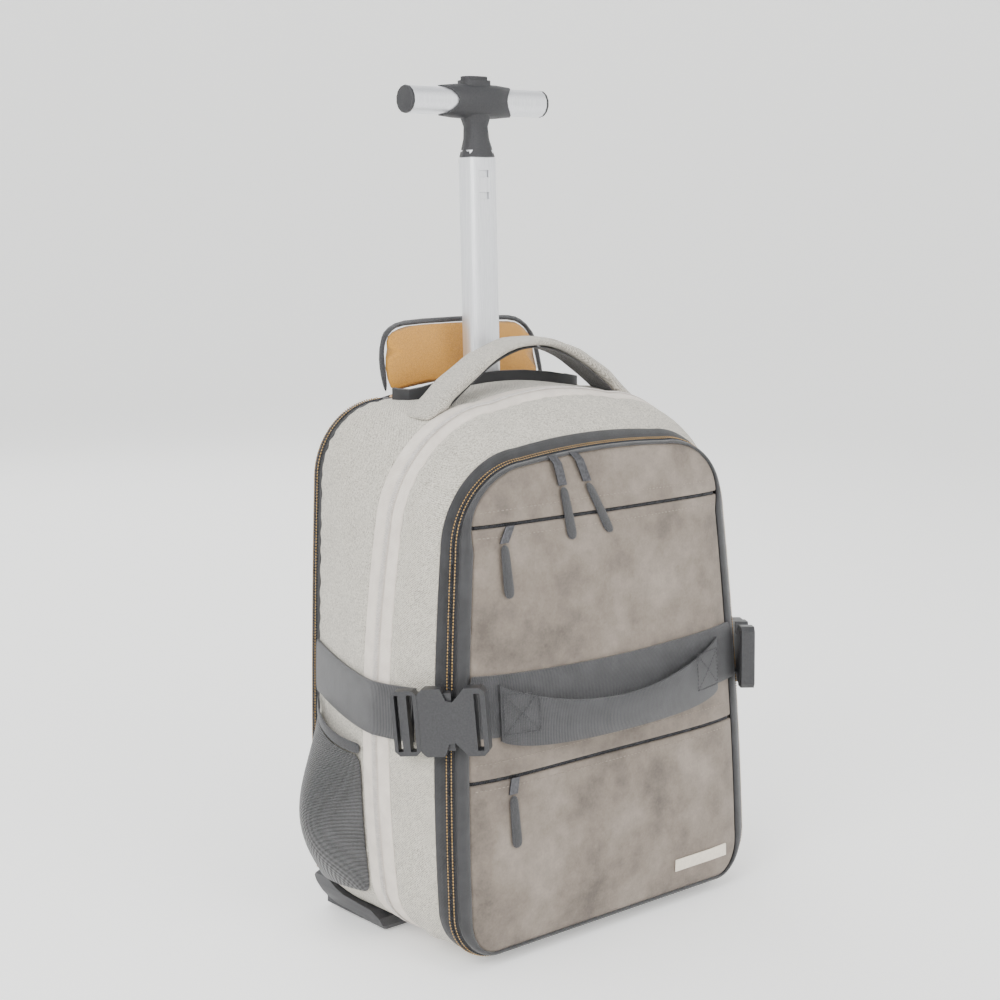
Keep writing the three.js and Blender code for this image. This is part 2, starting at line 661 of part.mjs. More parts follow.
// The base: two housings joined by a plate, and a bar that holds up the front.
addPair("wheel_housing", housing, blackPlastic);
const floorCloth = sections.front.low * bagHeight;
const plateHalf = -housingInner - gap;
const plateTop = basePlateLift + basePlateThickness;
add(
  "base_plate",
  block(-plateHalf, plateHalf, guardFront + 2, rearY - 4, basePlateLift, plateTop),
  blackPlastic,
);
const footFront = frontY + footSetback;
const footShape = roundedShape(rectangle(footFront, footFront + footDepth, 0, floorCloth - gap), 2);
add("front_foot", alongX(footShape, -footLength / 2, footLength / 2, 1), blackPlastic);

// The wheels.
const wheels = ["left", "right"].map((side) => {
  const group = new THREE.Group();
  group.position.set(side === "left" ? -wheelX : wheelX, wheelY, wheelRadius);
  root.add(group);
  const [w, r] = [wheelWidth / 2, wheelRadius - tyreWall];
  const shoulder = wheelRadius - tyreRound;
  add(`tyre_${side}`, turnedX([
    [-w, r], [-w, shoulder], [-w + tyreRound, wheelRadius],
    [w - tyreRound, wheelRadius], [w, shoulder], [w, r],
  ], 18), rubber, group);
  const bore = axleRadius + axleClearance;
  const rim = r - gap;
  add(`wheel_hub_${side}`, turnedX([
    [-w, bore], [-w, hubBoss], [-w + hubDish, hubBoss + 1], [-w + hubDish, rim - 3], [-w + 1, rim],
    [w - 1, rim], [w - hubDish, rim - 3], [w - hubDish, hubBoss + 1], [w, hubBoss], [w, bore],
  ], 12), blackPlastic, group);
  return group;
});

// The telescopic handle.
const sleeveTop = garageFloorZ - gap - leanReach;
const sleeveShape = tubeShape(tubeClearance + sleeveWall, tubeClearance);
add("handle_sleeve", mastRun(sleeveShape, sleeveFoot, sleeveTop), aluminium, mast);
const mastBlank = mastRun(tubeShape(0, -mastWall), mastTop - mastLength, mastTop);
const holeY = [mastY - mastDepth, mastY - mastDepth / 2 + mastWall + 0.1];
const lockHoles = holeDrops.map((drop) => {
  const middle = mastTop - drop;
  return block(-holeWidth / 2, holeWidth / 2, ...holeY, middle - holeHeight / 2, middle + holeHeight / 2);
});
add("mast_tube", cut(mastBlank, ...lockHoles), aluminium, mast);
const innerGrow = -mastWall - tubeClearance;
const neckFoot = mastTop + neckLift;
const innerTop = neckFoot + innerRise;
const innerShape = tubeShape(innerGrow, innerGrow - mastWall);
add("inner_tube", mastRun(innerShape, mastTop - innerLength, innerTop), aluminium, mast);

// The hub: a sleeve round the grip bar whose ends are notched at the front and back, on a waisted neck.
const hubTurns = steps(0, 360, 18).slice(0, -1);
const hubShares = [-1, -0.6, 0, 0.6, 1];
const hubSleeve = (() => {
  const grid = (inner) => hubTurns.map((degrees) => {
    const a = THREE.MathUtils.degToRad(degrees);
    const reach = hubEar - hubNotch * Math.cos(a) ** 2;
    return hubShares.map((k) => {
      const swell = (hubRadius - gripRadius - hubLip) * (1 - k * k);
      const r = inner ? gripRadius + gap : gripRadius + hubLip + swell;
      return new THREE.Vector3(k * reach, gripY + r * Math.cos(a), gripZ + r * Math.sin(a));
    });
  });
  return wall(grid(false), grid(true), true);
})();
// The neck's sections, from its foot up, as shares: the height above the foot, and half its width and
// depth as shares of the tube's.
const neckRise = gripZ - neckFoot;
const neckTable = [
  { rise: 0, width: 1.06, depth: 1.1 },
  { rise: 0.33, width: 0.72, depth: 0.96 },
  { rise: 0.55, width: 0.66, depth: 0.95 },
  { rise: 0.72, width: 0.85, depth: 1.1 },
  { rise: 0.86, width: 1.1, depth: 1.2 },
];
const neckTurns = steps(0, 360, 12).slice(0, -1);
const neckRow = ({ rise, width, depth }) => neckTurns.map((degrees) => {
  const a = THREE.MathUtils.degToRad(degrees);
  const round = (v) => Math.sign(v) * Math.abs(v) ** 0.7;
  return new THREE.Vector3(
    (round(Math.cos(a)) * mastWidth * width) / 2,
    mix(mastY, gripY, rise) + (round(Math.sin(a)) * mastDepth * depth) / 2,
    neckFoot + neckRise * rise,
  );
});
const neckRows = neckTable.map(neckRow);
const neckTop = neckFoot + neckRise * neckTable.at(-1).rise;
const neckEnds = [[mastY, neckFoot], [gripY, neckTop]].map(([y, z]) => new THREE.Vector3(0, y, z));
const neck = pad(neckRows.slice(1), neckEnds[1], [neckRows[0]], neckEnds[0]);
const gripBore = disc(gripRadius + gap, -gripLength, gripLength, 18).translate(0, gripY, gripZ);
const buttonFloor = gripZ + gripRadius + gap + buttonFloorWall;
function oblong(grow) {
  const [w, d] = [buttonLength / 2 + grow, buttonWidth / 2 + grow];
  return roundedShape(rectangle(-w, w, gripY - d, gripY + d), buttonWidth / 2);
}
const buttonWell = alongZ(oblong(gap), buttonFloor, gripZ + 2 * hubRadius);
const innerSocket = mastRun(tubeShape(innerGrow + gap), neckFoot - innerRise, innerTop + gap);
const boss = cut(alongZ(oblong(bossWall + gap), gripZ, gripZ + hubRadius + bossRise, 2), gripBore);
const hubBody = joined(hubSleeve, boss, cut(neck, gripBore));
add("handle_hub", cut(hubBody, buttonWell, innerSocket), blackPlastic, mast);
const barEnd = gripLength / 2;
const barBore = gripRadius - gripWall;
const bar = turnedX([[-barEnd, barBore], [-barEnd, gripRadius], [barEnd, gripRadius], [barEnd, barBore]], 14);
add("grip_bar", bar.translate(0, gripY, gripZ), aluminium, mast);
const endCap = turnedX([
  [-barEnd - gap, 0], [-barEnd - gap, gripRadius], [-barEnd - gap - endCapLength + 1, gripRadius],
  [-barEnd - gap - endCapLength, gripRadius - 1.5], [-barEnd - gap - endCapLength, 0],
], 14).translate(0, gripY, gripZ);
addPair("end_cap", endCap, blackPlastic, [mast, mast]);
const buttonLow = buttonFloor + buttonTravel + gap;
const button = alongZ(oblong(0), buttonLow, buttonLow + buttonHeight);
add("release_button", button, blackPlastic, mast);

// The garage that takes the folded handle: a cloth box, a lip in front of its mouth, and a zipped flap.
const garageBox = (grow, z0, z1) => garageMouth(-grow, z0, z1);
const garageRoof = filledBag(0, garageY[0] - 20, garageY[1] + 1);
const garageShell = cut(
  garageBox(0, garageFloorZ, overBag),
  garageBox(garageWall, garageFloorZ + garageWall, overBag + 1),
  mastRun(tubeShape(tubeClearance), garageFloorZ - 10, garageFloorZ + 10).applyMatrix4(mastMatrix),
);
add("garage_pocket", common(garageShell, garageRoof), mustard);
function lipOutline(grow) {
  const half = garageWidth / 2 + lipStand + grow;
  return roundedShape(rectangle(-half, half, garageY[0] - lipStand - grow, rearY + 60), garageCorner + 2);
}
const lipRun = (grow, more) => alongZ(lipOutline(grow), garageFloorZ - more, overBag + more, 2);
const lipBand = cut(lipRun(lipThickness, 0), lipRun(0, 1));
const lipZone = cut(filledBag(lipHeight, garageY[0] - 20, rearY - 8), filledBag(gap, garageY[0] - 30, rearY));
add("garage_lip", common(lipBand, lipZone), blackCloth);

// The flap stands up behind the tube and leans back. A zip runs round its free edge.
const flapHalf = garageWidth / 2 - 1;
const flapFoot = bagHeight - 4;
const flapLeant = (geometry) => {
  const lean = flapLean / flapHeight;
  return geometry.applyMatrix4(matrix(1, 0, 0, 0, 0, 1, lean, -lean * flapFoot, 0, 0, 1, 0));
};
function flapShape(inset) {
  const [w, top] = [flapHalf - inset, flapFoot + flapHeight - inset];
  return roundedShape(rectangle(-w, w, flapFoot - 60, top), flapCorner - inset);
}
const flapY = garageY[1] + gap + flapZipProud / 2;
function flapSlab(inset, thickness) {
  const middle = flapY + flapThickness / 2;
  return flapLeant(alongY(flapShape(inset), middle - thickness / 2, middle + thickness / 2, 4));
}
const bagGround = block(-bagWidth, bagWidth, 0, rearY + 60, 0, bagHeight - 30);
const flapGround = joined(filledBag(gap, 0, rearY + 40), bagGround);
add("handle_flap", cut(flapSlab(flapEdge + gap, flapThickness), flapGround), mustard);
const flapBinding = flapSlab(0, flapThickness + flapZipProud);
add("flap_zip", cut(flapBinding, flapSlab(flapEdge, 3 * flapThickness), flapGround), blackCloth);

// The grab handle: a padded arch over the middle of the bag, with webbing sewn under it.
const archY = 32;
const archCurve = (half, foot, rise, turns = 14) =>
  steps(-90, 90, turns).map((degrees) => {
    const x = (half * degrees) / 90;
    return new THREE.Vector2(x, foot + rise * Math.cos(THREE.MathUtils.degToRad(degrees)));
  });
const archBand = (outer, inner) => {
  const down = (point, z) => new THREE.Vector2(point.x, z);
  const drop = (points, z) => [down(points[0], z), ...points, down(points.at(-1), z)];
  return new THREE.Shape([...drop(outer, bagHeight - 60), ...drop(inner, bagHeight - 60).reverse()]);
};
const archFoot = bagHeight - 15;
// The arch starts below the cloth, which its feet are cut back to, and is thinner at the feet.
const archHalf = handleSpan / 2 + archSpread;
const archRise = handleRise + archSpread;
const archLine = (inset) => archCurve(archHalf - inset * 1.6, archFoot - inset / 2, archRise - inset / 2);
const archRange = (width) => [archY - width / 2, archY + width / 2];
const archGround = filledBag(sewnGap, archY - 40, archY + 40);
const archSolid = (from, to, width) =>
  cut(alongY(archBand(archLine(from), archLine(to)), ...archRange(width), 1), archGround);
add("grab_handle", archSolid(0, handlePad, handleWidth), twill);
const webbingFrom = handlePad + gap;
const underWebbing = archSolid(webbingFrom, webbingFrom + handleWebbing, handleWebbingWidth);
add("grab_webbing", underWebbing, webbingCloth);

// The side pockets: gathered net that stands off the side, with a bound edge across its mouth.
const pocketFront = middleHalf + 1;
const pocketRear = rearY - 1;
const pocketTop = (u) => mix(pocketFrontTop, pocketRearTop, u ** 2.2);
// How far the net stands off the side, at a share u of its width from the front and v of its height.
const pocketStand = (u, v) => {
  const across = Math.sin(Math.PI * u ** 1.4) ** 0.7;
  const up = Math.sin(Math.PI * Math.min(0.06 + v * 0.8, 1)) ** 0.8;
  return mix(pocketBulge * across * up, pocketMouth * across, v ** 4);
};
function pocketPoint(u, v, out) {
  const y = mix(pocketFront, pocketRear, u);
  const z = mix(pocketLow, pocketTop(u), v);
  return new THREE.Vector3(-halfWidthAt(y, z) - sewnGap - out - pocketStand(u, v), y, z);
}
const netGrid = (out) => steps(0, 1, 7).map((u) => steps(0, 1, 5).map((v) => pocketPoint(u, v, out)));
addPair("mesh_pocket", wall(netGrid(meshThickness), netGrid(0)), blackMesh);
const bindingRises = [gap, bindingHeight / 2, bindingHeight];
const bindingGrid = (out) => steps(0, 1, 7).map((u) => bindingRises.map((rise) => {
  const p = pocketPoint(u, 1, out);
  p.z += rise;
  p.x = -halfWidthAt(p.y, p.z) - sewnGap - out - pocketStand(u, 1);
  return p;
}));
addPair("pocket_binding", wall(bindingGrid(bindingThickness), bindingGrid(0)), webbingCloth);

// The compression strap. It leaves the rear edge of each side, runs to a buckle at the front corner,
// and on across the front. planPath gives the bag's skin at a height, from the rear of the left side
// to the middle of the front.
function planPath(z, out) {
  const sideYs = steps(rearY - 2, frontY + frontZipSide, 8);
  const side = sideYs.map((y) => [-halfWidthAt(y, z), y + leanAt(y, z)]);
  const w = halfWidthAt(frontY, z);
  const lean = leanAt(frontY, z);
  const corner = [[frontY + 3, 0], [frontY - 2, 2.5], [frontY - 6, 8], [frontY - frontZipReach, frontZipRim]];
  const turn = corner.map(([y, inset]) => [-w + inset, y + lean]);
  const reach = w - frontZipRim;
  const face = [0.96, 0.9, 0.8, 0.6, 0.4, 0.2, 0].map((k) => [-reach * k, leatherY(-reach * k, z)]);
  const points = [...side, ...turn, ...face].map(([x, y]) => new THREE.Vector2(x, y));
  return points.map((p, i) => {
    const before = points[Math.max(i - 1, 0)];
    const along = points[i + 1] ? points[i + 1].clone().sub(before) : new THREE.Vector2(1, 0);
    along.normalize();
    return new THREE.Vector2(p.x + along.y * out, p.y - along.x * out);
  });
}
// The point at a length along a plan path.
function alongPath(path, length) {
  let rest = length;
  for (let i = 0; i < path.length - 1; i++) {
    const run = path[i].distanceTo(path[i + 1]);
    if (rest <= run || i === path.length - 2) return path[i].clone().lerp(path[i + 1], rest / run);
    rest -= run;
  }
  return path.at(-1);
}
const pathLength = (path) => path.slice(1).reduce((sum, p, i) => sum + p.distanceTo(path[i]), 0);

const strapZ = (y) => strapFrontZ + (strapRearZ - strapFrontZ) * Math.max(y / rearY, 0) ** 1.5;
const middlePath = planPath(strapFrontZ, 0);
const frontZOf = (x) => strapFrontZ + 2 + strapSag * (x / (bagWidth / 2)) ** 2;

// The buckle lies flat across the corner, with the latch's ladder at its rear. Its frame has the way
// along it towards the front, the way up and the way out, from the middle of its inner face.
const buckleTilt = THREE.MathUtils.degToRad(buckleAngle);
const buckleAlong = new THREE.Vector3(Math.sin(buckleTilt), -Math.cos(buckleTilt), 0);
const buckleOut = new THREE.Vector3(-Math.cos(buckleTilt), -Math.sin(buckleTilt), 0);
const buckleRest = Math.max(...[-1, 0, 1].flatMap((k) => planPath(strapFrontZ + (k * buckleWidth) / 2, 0))
  .map((p) => buckleOut.dot(new THREE.Vector3(p.x, p.y, 0)))) + sewnGap;
const cornerX = -halfWidthAt(frontY, strapFrontZ);
const corner = new THREE.Vector3(cornerX, frontY + leanAt(frontY, strapFrontZ), 0);
const buckleMiddle = buckleAlong.clone().multiplyScalar(buckleAlong.dot(corner) + buckleShift)
  .addScaledVector(buckleOut, buckleRest);
const buckleFrame = new THREE.Matrix4()
  .makeBasis(buckleAlong, new THREE.Vector3(0, 0, 1), buckleOut)
  .setPosition(buckleMiddle.x, buckleMiddle.y, strapFrontZ)
  .multiply(new THREE.Matrix4().makeRotationZ(THREE.MathUtils.degToRad(buckleRoll)));
const plate = (shape, from, to) =>
  extrude(shape, to - from, 1).translate(0, 0, from).applyMatrix4(buckleFrame);
const buckleHalf = buckleWidth / 2;
const buckleEnd = (buckleBodyLength + ladderLength) / 2;
const bodyFrom = -buckleEnd + ladderLength;
const slotHalf = webbingWidth / 2 + 1;
const [notchFrom, notchTo] = notchShares.map((share) => bodyFrom + buckleBodyLength * share);
const notch = (side) => shapeOf([
  [notchFrom, side * (buckleHalf + 2)], [notchFrom + 5, side * (buckleHalf - notchDepth + 1)],
  [notchFrom + 10, side * (buckleHalf - notchDepth)], [notchTo, side * (buckleHalf + 2)],
]);
const prongShape = (side, grow) => {
  const ends = [side * (buckleHalf - notchDepth - grow), side * (buckleHalf - prongEdge + grow)];
  const tip = notchFrom + prongReach + grow;
  return shapeOf(rectangle(bodyFrom - 1, tip, Math.min(...ends), Math.max(...ends)));
};
const bodyOutline = roundedShape(rectangle(bodyFrom, buckleEnd, -buckleHalf, buckleHalf), buckleCorner);
const slotEnd = buckleEnd - slotEdge;
const bodySlot = rectangle(slotEnd - slotWidth, slotEnd, -slotHalf, slotHalf);
const buckleBody = cut(
  plate(bodyOutline, 0, buckleThickness),
  plate(shapeOf(bodySlot), -1, buckleThickness + 1),
  ...[1, -1].map((side) => plate(notch(side), -1, buckleThickness + 1)),
  ...[1, -1].map((side) => plate(prongShape(side, gap), buckleSkin, buckleThickness - buckleSkin)),
);
addPair("buckle_body", buckleBody, blackPlastic);
const latchHalf = buckleHalf - 1;
const latchOutline = roundedShape(rectangle(-buckleEnd, bodyFrom - gap, -latchHalf, latchHalf), buckleCorner);
const ladderWindow = ([from, to]) =>
  shapeOf(rectangle(-buckleEnd + from, -buckleEnd + to, -slotHalf, slotHalf));
const prong = (side) => plate(prongShape(side, 0), buckleSkin + gap, buckleThickness - buckleSkin - gap);
const latch = joined(
  cut(
    plate(latchOutline, 1, buckleThickness - 1),
    ...ladderWindows.map((ends) => plate(ladderWindow(ends), 0, buckleThickness)),
  ),
  prong(1),
  prong(-1),
);
addPair("buckle_latch", latch, blackPlastic);

// A ribbon from rows of [low, high] skin points, given inner and outer offsets.
const sideEnd = buckleMiddle.clone().addScaledVector(buckleAlong, -buckleEnd - gap);
const latchEnd = buckleMiddle.clone().addScaledVector(buckleAlong, buckleEnd + gap);
const strapOffset = coilRise + sewnGap;
// The side strap follows the skin until it meets the buckle's rear end.
const lengthTo = (end) => {
  const apart = (s) => {
    const p = alongPath(middlePath, s);
    return Math.hypot(p.x - end.x, p.y - end.y);
  };
  const lengths = steps(0, pathLength(middlePath), 200);
  return lengths.reduce((best, s) => (apart(s) < apart(best) ? s : best));
};
const sideRun = lengthTo(sideEnd);
const frontRun = lengthTo(latchEnd);
const sideRow = (s, out) => [-1, 0, 1].map((k) => {
  const flat = alongPath(middlePath, s);
  const z = strapZ(flat.y) + (k * webbingWidth) / 2;
  const skin = alongPath(planPath(z, strapOffset + out), s);
  return new THREE.Vector3(skin.x, skin.y, z);
});
const sideGrid = (out) => steps(0, sideRun, 7).map((s) => sideRow(s, out));
addPair("strap", wall(sideGrid(webbingThickness), sideGrid(0)), webbingCloth);

const frontRow = (s, out, mirror) => [-1, 0, 1].map((k) => {
  const flat = alongPath(middlePath, s);
  const z = frontZOf(flat.x) + (k * frontStrapWidth) / 2;
  const skin = alongPath(planPath(z, sewnGap + out), s);
  return new THREE.Vector3(mirror * skin.x, skin.y, z);
});
const frontTotal = pathLength(middlePath);
const frontStations = steps(frontRun, frontTotal - 0.5, 7);
const frontRows = (out) => [
  ...frontStations.map((s) => frontRow(s, out, 1)),
  ...frontStations.slice().reverse().map((s) => frontRow(s, out, -1)),
];
add("strap_front", wall(frontRows(webbingThickness), frontRows(0)), webbingCloth);

// The hand loop: a second run of webbing, sewn to the strap at both ends and bowed off it between.
const loopReach = bagWidth / 2 - loopInset;
const loopRow = (t, out) => [-1, 0, 1].map((k) => {
  const x = loopReach * t;
  const bow = Math.max(1 - t * t, 0) ** 0.7;
  const width = mix(frontStrapWidth - 4, loopWaist, bow ** 2);
  const z = frontZOf(x) - loopDrop * mix(0.25, 1, bow) + (k * width) / 2;
  const depth = leatherY(x, z) - sewnGap - webbingThickness - 2 * gap - loopBow * bow - out;
  return new THREE.Vector3(x, depth, z);
});
const loopGrid = (out) => steps(-1, 1, 10).map((t) => loopRow(t, out));
add("hand_loop", wall(loopGrid(webbingThickness), loopGrid(0)), webbingCloth);

// Zip pulls: a metal slider and tab, and a loop of tape. across is a share of the bag's half width;
// drift and swing say how far the tab and the tape slant, as shares of their lengths.
const pullTable = [
  { name: "front_zip_pull_1", across: -0.3, height: "top", drift: 0.24, swing: 0.16 },
  { name: "front_zip_pull_2", across: -0.17, height: "top", drift: 0.4, swing: 0.5 },
  { name: "upper_zip_pull", across: -0.594, height: "upper", drift: -0.5, swing: 0.08 },
  { name: "lower_zip_pull", across: -0.617, height: "lower", drift: -0.2, swing: 0.05 },
];
const frontTop = (x) => {
  const { high, crown } = sectionAt(frontY);
  return high - crown * (x / (bagWidth / 2)) ** 2 - slumpAt(frontY, x, high);
};
// The depth of the front's skin, with the zip's rounded edge along the top.
function skinY(x, z) {
  const inset = Math.max(frontTop(x) - z, 0);
  if (inset > frontRimLeast) return leatherY(x, z);
  const round = Math.sin(((inset / frontRimLeast) * Math.PI) / 2) ** 0.8;
  return frontY + leanAt(frontY, z) - frontZipReach * round;
}
// A strip on the front's skin from one [x, z] to another, whose start stands off by lift.
function strip(from, to, widthFrom, widthTo, lift, thickness, rows) {
  const grid = (out) => steps(0, 1, rows).map((t) => {
    const x = mix(from[0], to[0], t);
    const z = mix(from[1], to[1], t);
    const w = mix(widthFrom, widthTo, t) / 2;
    return [-w, w].map((d) => new THREE.Vector3(x + d, skinY(x, z) - gap - lift * (1 - t) - out, z));
  });
  return wall(grid(thickness), grid(0));
}
for (const { name, across, height, drift, swing } of pullTable) {
  const heights = { top: frontTop((across * bagWidth) / 2) - 1, upper: upperSlitZ, lower: lowerSlitZ };
  const tabRun = height === "top" ? pullTabLength : pullTabLength * 0.55;
  const start = [(across * bagWidth) / 2, heights[height]];
  const knee = [start[0] + tabRun * drift, start[1] - tabRun];
  const end = [knee[0] + pullTapeLength * swing, knee[1] - pullTapeLength];
  const lift = height === "top" ? pullLift : 0;
  const tab = strip(start, knee, pullTabWidth, pullTabWidth, lift, pullTabThickness, 4);
  add(name, tab, gunmetal);
  const tape = strip([knee[0], knee[1] - gap], end, pullTabWidth, pullTapeWidth, 0, pullTapeThickness, 4);
  add(`${name}_loop`, tape, webbingCloth);
}

// A blank plate low on the right of the front.
const badgeX = bagWidth * 0.292;
const badgeZ = bagHeight * 0.081;
const badgeGrid = (out) => steps(-1, 1, 3).map((u) => [-1, 1].map((v) => {
  const x = badgeX + (u * badgeWidth) / 2;
  const z = badgeZ + (v * badgeHeight) / 2;
  return new THREE.Vector3(x, leatherY(x, z) - gap - out, z);
}));
add("badge_plate", wall(badgeGrid(badgeThickness), badgeGrid(0)), aluminium);

// The shoulder straps: padded, sewn to the back below its top, bowed off it, and run on in webbing.
const backSurface = (x, z) => {
  const reach = halfWidthAt(rearY, bagHeight / 2) - rearZipRim;
  const heightShare = Math.abs(z - bagHeight / 2) / (bagHeight / 2 - rearZipRim);
  const k = Math.min(Math.max(Math.abs(x) / reach, heightShare), 1);
  return backY + backPadCrown * (1 - k ** 6);
};
const shoulderX = (t) => -(shoulderInset + shoulderSpread * t ** 1.5);
const shoulderGrid = (out) => steps(0, 1, 12).map((t) => {
  const z = mix(shoulderTopZ, shoulderEndZ, t);
  const stand = shoulderArch * Math.sin(Math.PI * t) + sewnGap;
  const width = mix(shoulderWidth, shoulderWidth * 0.7, t ** 3);
  return [-1, -0.6, 0.6, 1].map((k) => {
    const x = shoulderX(t) + (k * width) / 2;
    const thin = Math.abs(k) === 1 ? 0.35 : 1;
    const base = backSurface(shoulderX(t), z) + stand;
    const mid = base + shoulderPad / 2;
    return new THREE.Vector3(x, mid + (out ? 0.5 : -0.5) * shoulderPad * thin, z);
  });
});
addPair("shoulder_strap", wall(shoulderGrid(true), shoulderGrid(false)), blackMesh);
const webEnd = new THREE.Vector2(-bagWidth / 2 + 42, bagHeight * 0.14);
const webTop = new THREE.Vector2(shoulderX(1), shoulderEndZ);
const webRun = webEnd.clone().sub(webTop).normalize();
const webStart = webTop.clone().setY(shoulderEndZ - gap + (webRun.x * shoulderWebbing) / 2);
const webGrid = (out) => steps(0, 1, 5).map((t) => {
  const p = webStart.clone().lerp(webEnd, t);
  return [-1, 1].map((k) => {
    const w = (k * shoulderWebbing) / 2;
    const depth = backSurface(p.x, p.y) + sewnGap + out;
    return new THREE.Vector3(p.x - w * webRun.y, depth, p.y + w * webRun.x);
  });
});
addPair("strap_webbing", wall(webGrid(webbingThickness), webGrid(0)), webbingCloth);
// An adjuster lies on each webbing strap below the end of the padding.
const adjusterRise = webStart.clone().lerp(webEnd, 0.22);
const adjusterTurn = Math.atan2(webRun.y, webRun.x) + Math.PI / 2;
const adjusterY = backSurface(adjusterRise.x, adjusterRise.y) + sewnGap + webbingThickness + 1;
const [slotReach, adjusterEnd] = [shoulderWebbing / 2, adjusterLength / 2];
const adjusterHalf = slotReach + adjusterSide;
const adjusterShape = roundedShape(rectangle(-adjusterHalf, adjusterHalf, -adjusterEnd, adjusterEnd), 3);
for (const ends of adjusterSlots)
  adjusterShape.holes.push(shapeOf(rectangle(-slotReach, slotReach, ...ends)));
const adjuster = extrude(adjusterShape, adjusterThickness, 2)
  .rotateX(Math.PI / 2)
  .rotateY(-adjusterTurn)
  .translate(adjusterRise.x, adjusterY + adjusterThickness, adjusterRise.y);
addPair("strap_adjuster", adjuster, blackPlastic);

// The whole stands with its origin in the middle of its footprint.
const box = new THREE.Box3().setFromObject(root);
root.position.y = -(box.min.y + box.max.y) / 2;

export default root;
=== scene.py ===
# A wheeled backpack in sand twill and grey-brown leather, dressed round its packed construction.
import json
import math

import bmesh
import bpy
import numpy as np
from mathutils import Matrix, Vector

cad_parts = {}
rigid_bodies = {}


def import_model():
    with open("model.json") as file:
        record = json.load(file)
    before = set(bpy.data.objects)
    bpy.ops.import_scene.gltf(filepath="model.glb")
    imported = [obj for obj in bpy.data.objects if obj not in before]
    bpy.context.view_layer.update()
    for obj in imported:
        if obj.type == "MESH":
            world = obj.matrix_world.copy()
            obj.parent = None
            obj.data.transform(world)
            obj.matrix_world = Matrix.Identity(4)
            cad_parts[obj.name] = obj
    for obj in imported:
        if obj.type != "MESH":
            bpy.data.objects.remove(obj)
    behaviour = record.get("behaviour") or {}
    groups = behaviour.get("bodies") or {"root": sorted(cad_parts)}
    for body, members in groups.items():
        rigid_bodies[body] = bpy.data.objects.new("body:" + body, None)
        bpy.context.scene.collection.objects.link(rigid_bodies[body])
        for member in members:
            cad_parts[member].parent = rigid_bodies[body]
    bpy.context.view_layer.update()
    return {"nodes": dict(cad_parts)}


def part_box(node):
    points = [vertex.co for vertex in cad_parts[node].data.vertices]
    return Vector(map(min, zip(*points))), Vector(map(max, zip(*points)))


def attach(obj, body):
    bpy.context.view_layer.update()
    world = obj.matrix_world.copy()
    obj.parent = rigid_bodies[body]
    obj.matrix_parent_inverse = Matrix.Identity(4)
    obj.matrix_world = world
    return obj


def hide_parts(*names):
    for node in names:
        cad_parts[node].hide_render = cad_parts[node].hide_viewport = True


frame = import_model()


# The studio.
# A pale seamless bowl under broad soft light, with the brighter side on the twill, and the camera at
# the photograph's angle: 40 degrees round to the bag's left and 9 degrees above it.
STUDIO_WHITE = (0.9, 0.9, 0.89)
STUDIO_GLOW = 0.38
BOWL_FLAT, BOWL_BEND, BOWL_HIGH, BOWL_SIDES = 3.2, 1.8, 6.0, 96
zip_line = sum(corner[1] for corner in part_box("middle_zip")) / 2
CAMERA_YAW, CAMERA_PITCH, CAMERA_LENS = math.radians(40.40), math.radians(9.46), 66.64
camera_place = (-1.0550, -1.1742 + zip_line, 0.6237)


def turned_grid(profile, steps):
    """A profile of (radius, height) turned about Z: each ring is the profile at the next angle."""
    angle = np.linspace(0, 2 * np.pi, steps, endpoint=False)[:, None]
    radius, height = np.asarray(profile, float).T
    return np.stack([radius * np.cos(angle), radius * np.sin(angle), height + 0 * angle], -1)


def grid_faces(rows, columns, ring):
    """Quads between neighbouring rows and columns of a grid; with ring, the last row meets the first."""
    r = np.arange(rows if ring else rows - 1)[:, None]
    c = np.arange(columns - 1)[None, :]
    after = (r + 1) % rows
    corners = [r * columns + c, after * columns + c, after * columns + c + 1, r * columns + c + 1]
    return np.stack(corners, -1).reshape(-1, 4)


def new_piece(name, points, faces, finish=None, smooth=True):
    """A mesh object from an array of points and faces, in metres, with its finish."""
    mesh = bpy.data.meshes.new(name)
    mesh.from_pydata(np.asarray(points).reshape(-1, 3).tolist(), [], [list(map(int, f)) for f in faces])
    mesh.validate()
    mesh.polygons.foreach_set("use_smooth", [smooth] * len(mesh.polygons))
    if finish:
        mesh.materials.append(finish)
    piece = bpy.data.objects.new(name, mesh)
    bpy.context.collection.objects.link(piece)
    return piece


def finish_nodes(name):
    """A new material with its node tree and its Principled shader."""
    material = bpy.data.materials.new(name)
    material.use_nodes = True
    return material, material.node_tree, material.node_tree.nodes["Principled BSDF"]


bend = np.linspace(0, np.pi / 2, 24)[1:]
bowl_profile = [(0.001, 0), (1.5, 0), (BOWL_FLAT, 0)]
bowl_profile += [(BOWL_FLAT + BOWL_BEND * math.sin(a), BOWL_BEND - BOWL_BEND * math.cos(a)) for a in bend]
bowl_profile.append((BOWL_FLAT + BOWL_BEND, BOWL_HIGH))
studio_paint, tree, shader = finish_nodes("studio_paint")
shader.inputs["Base Color"].default_value = (*STUDIO_WHITE, 1)
shader.inputs["Roughness"].default_value = 0.9
shader.inputs["Specular IOR Level"].default_value = 0.1
shader.inputs["Emission Color"].default_value = (*STUDIO_WHITE, 1)
shader.inputs["Emission Strength"].default_value = STUDIO_GLOW
bowl_grid = turned_grid(bowl_profile, BOWL_SIDES)
bowl_faces = grid_faces(BOWL_SIDES, len(bowl_profile), True)[:, ::-1]
studio = new_piece("studio_bowl", bowl_grid, bowl_faces, studio_paint)

world = bpy.data.worlds.new("studio_air")
world.use_nodes = True
world.node_tree.nodes["Background"].inputs["Color"].default_value = (0.95, 0.97, 1.0, 1)
world.node_tree.nodes["Background"].inputs["Strength"].default_value = 0.62
bpy.context.scene.world = world

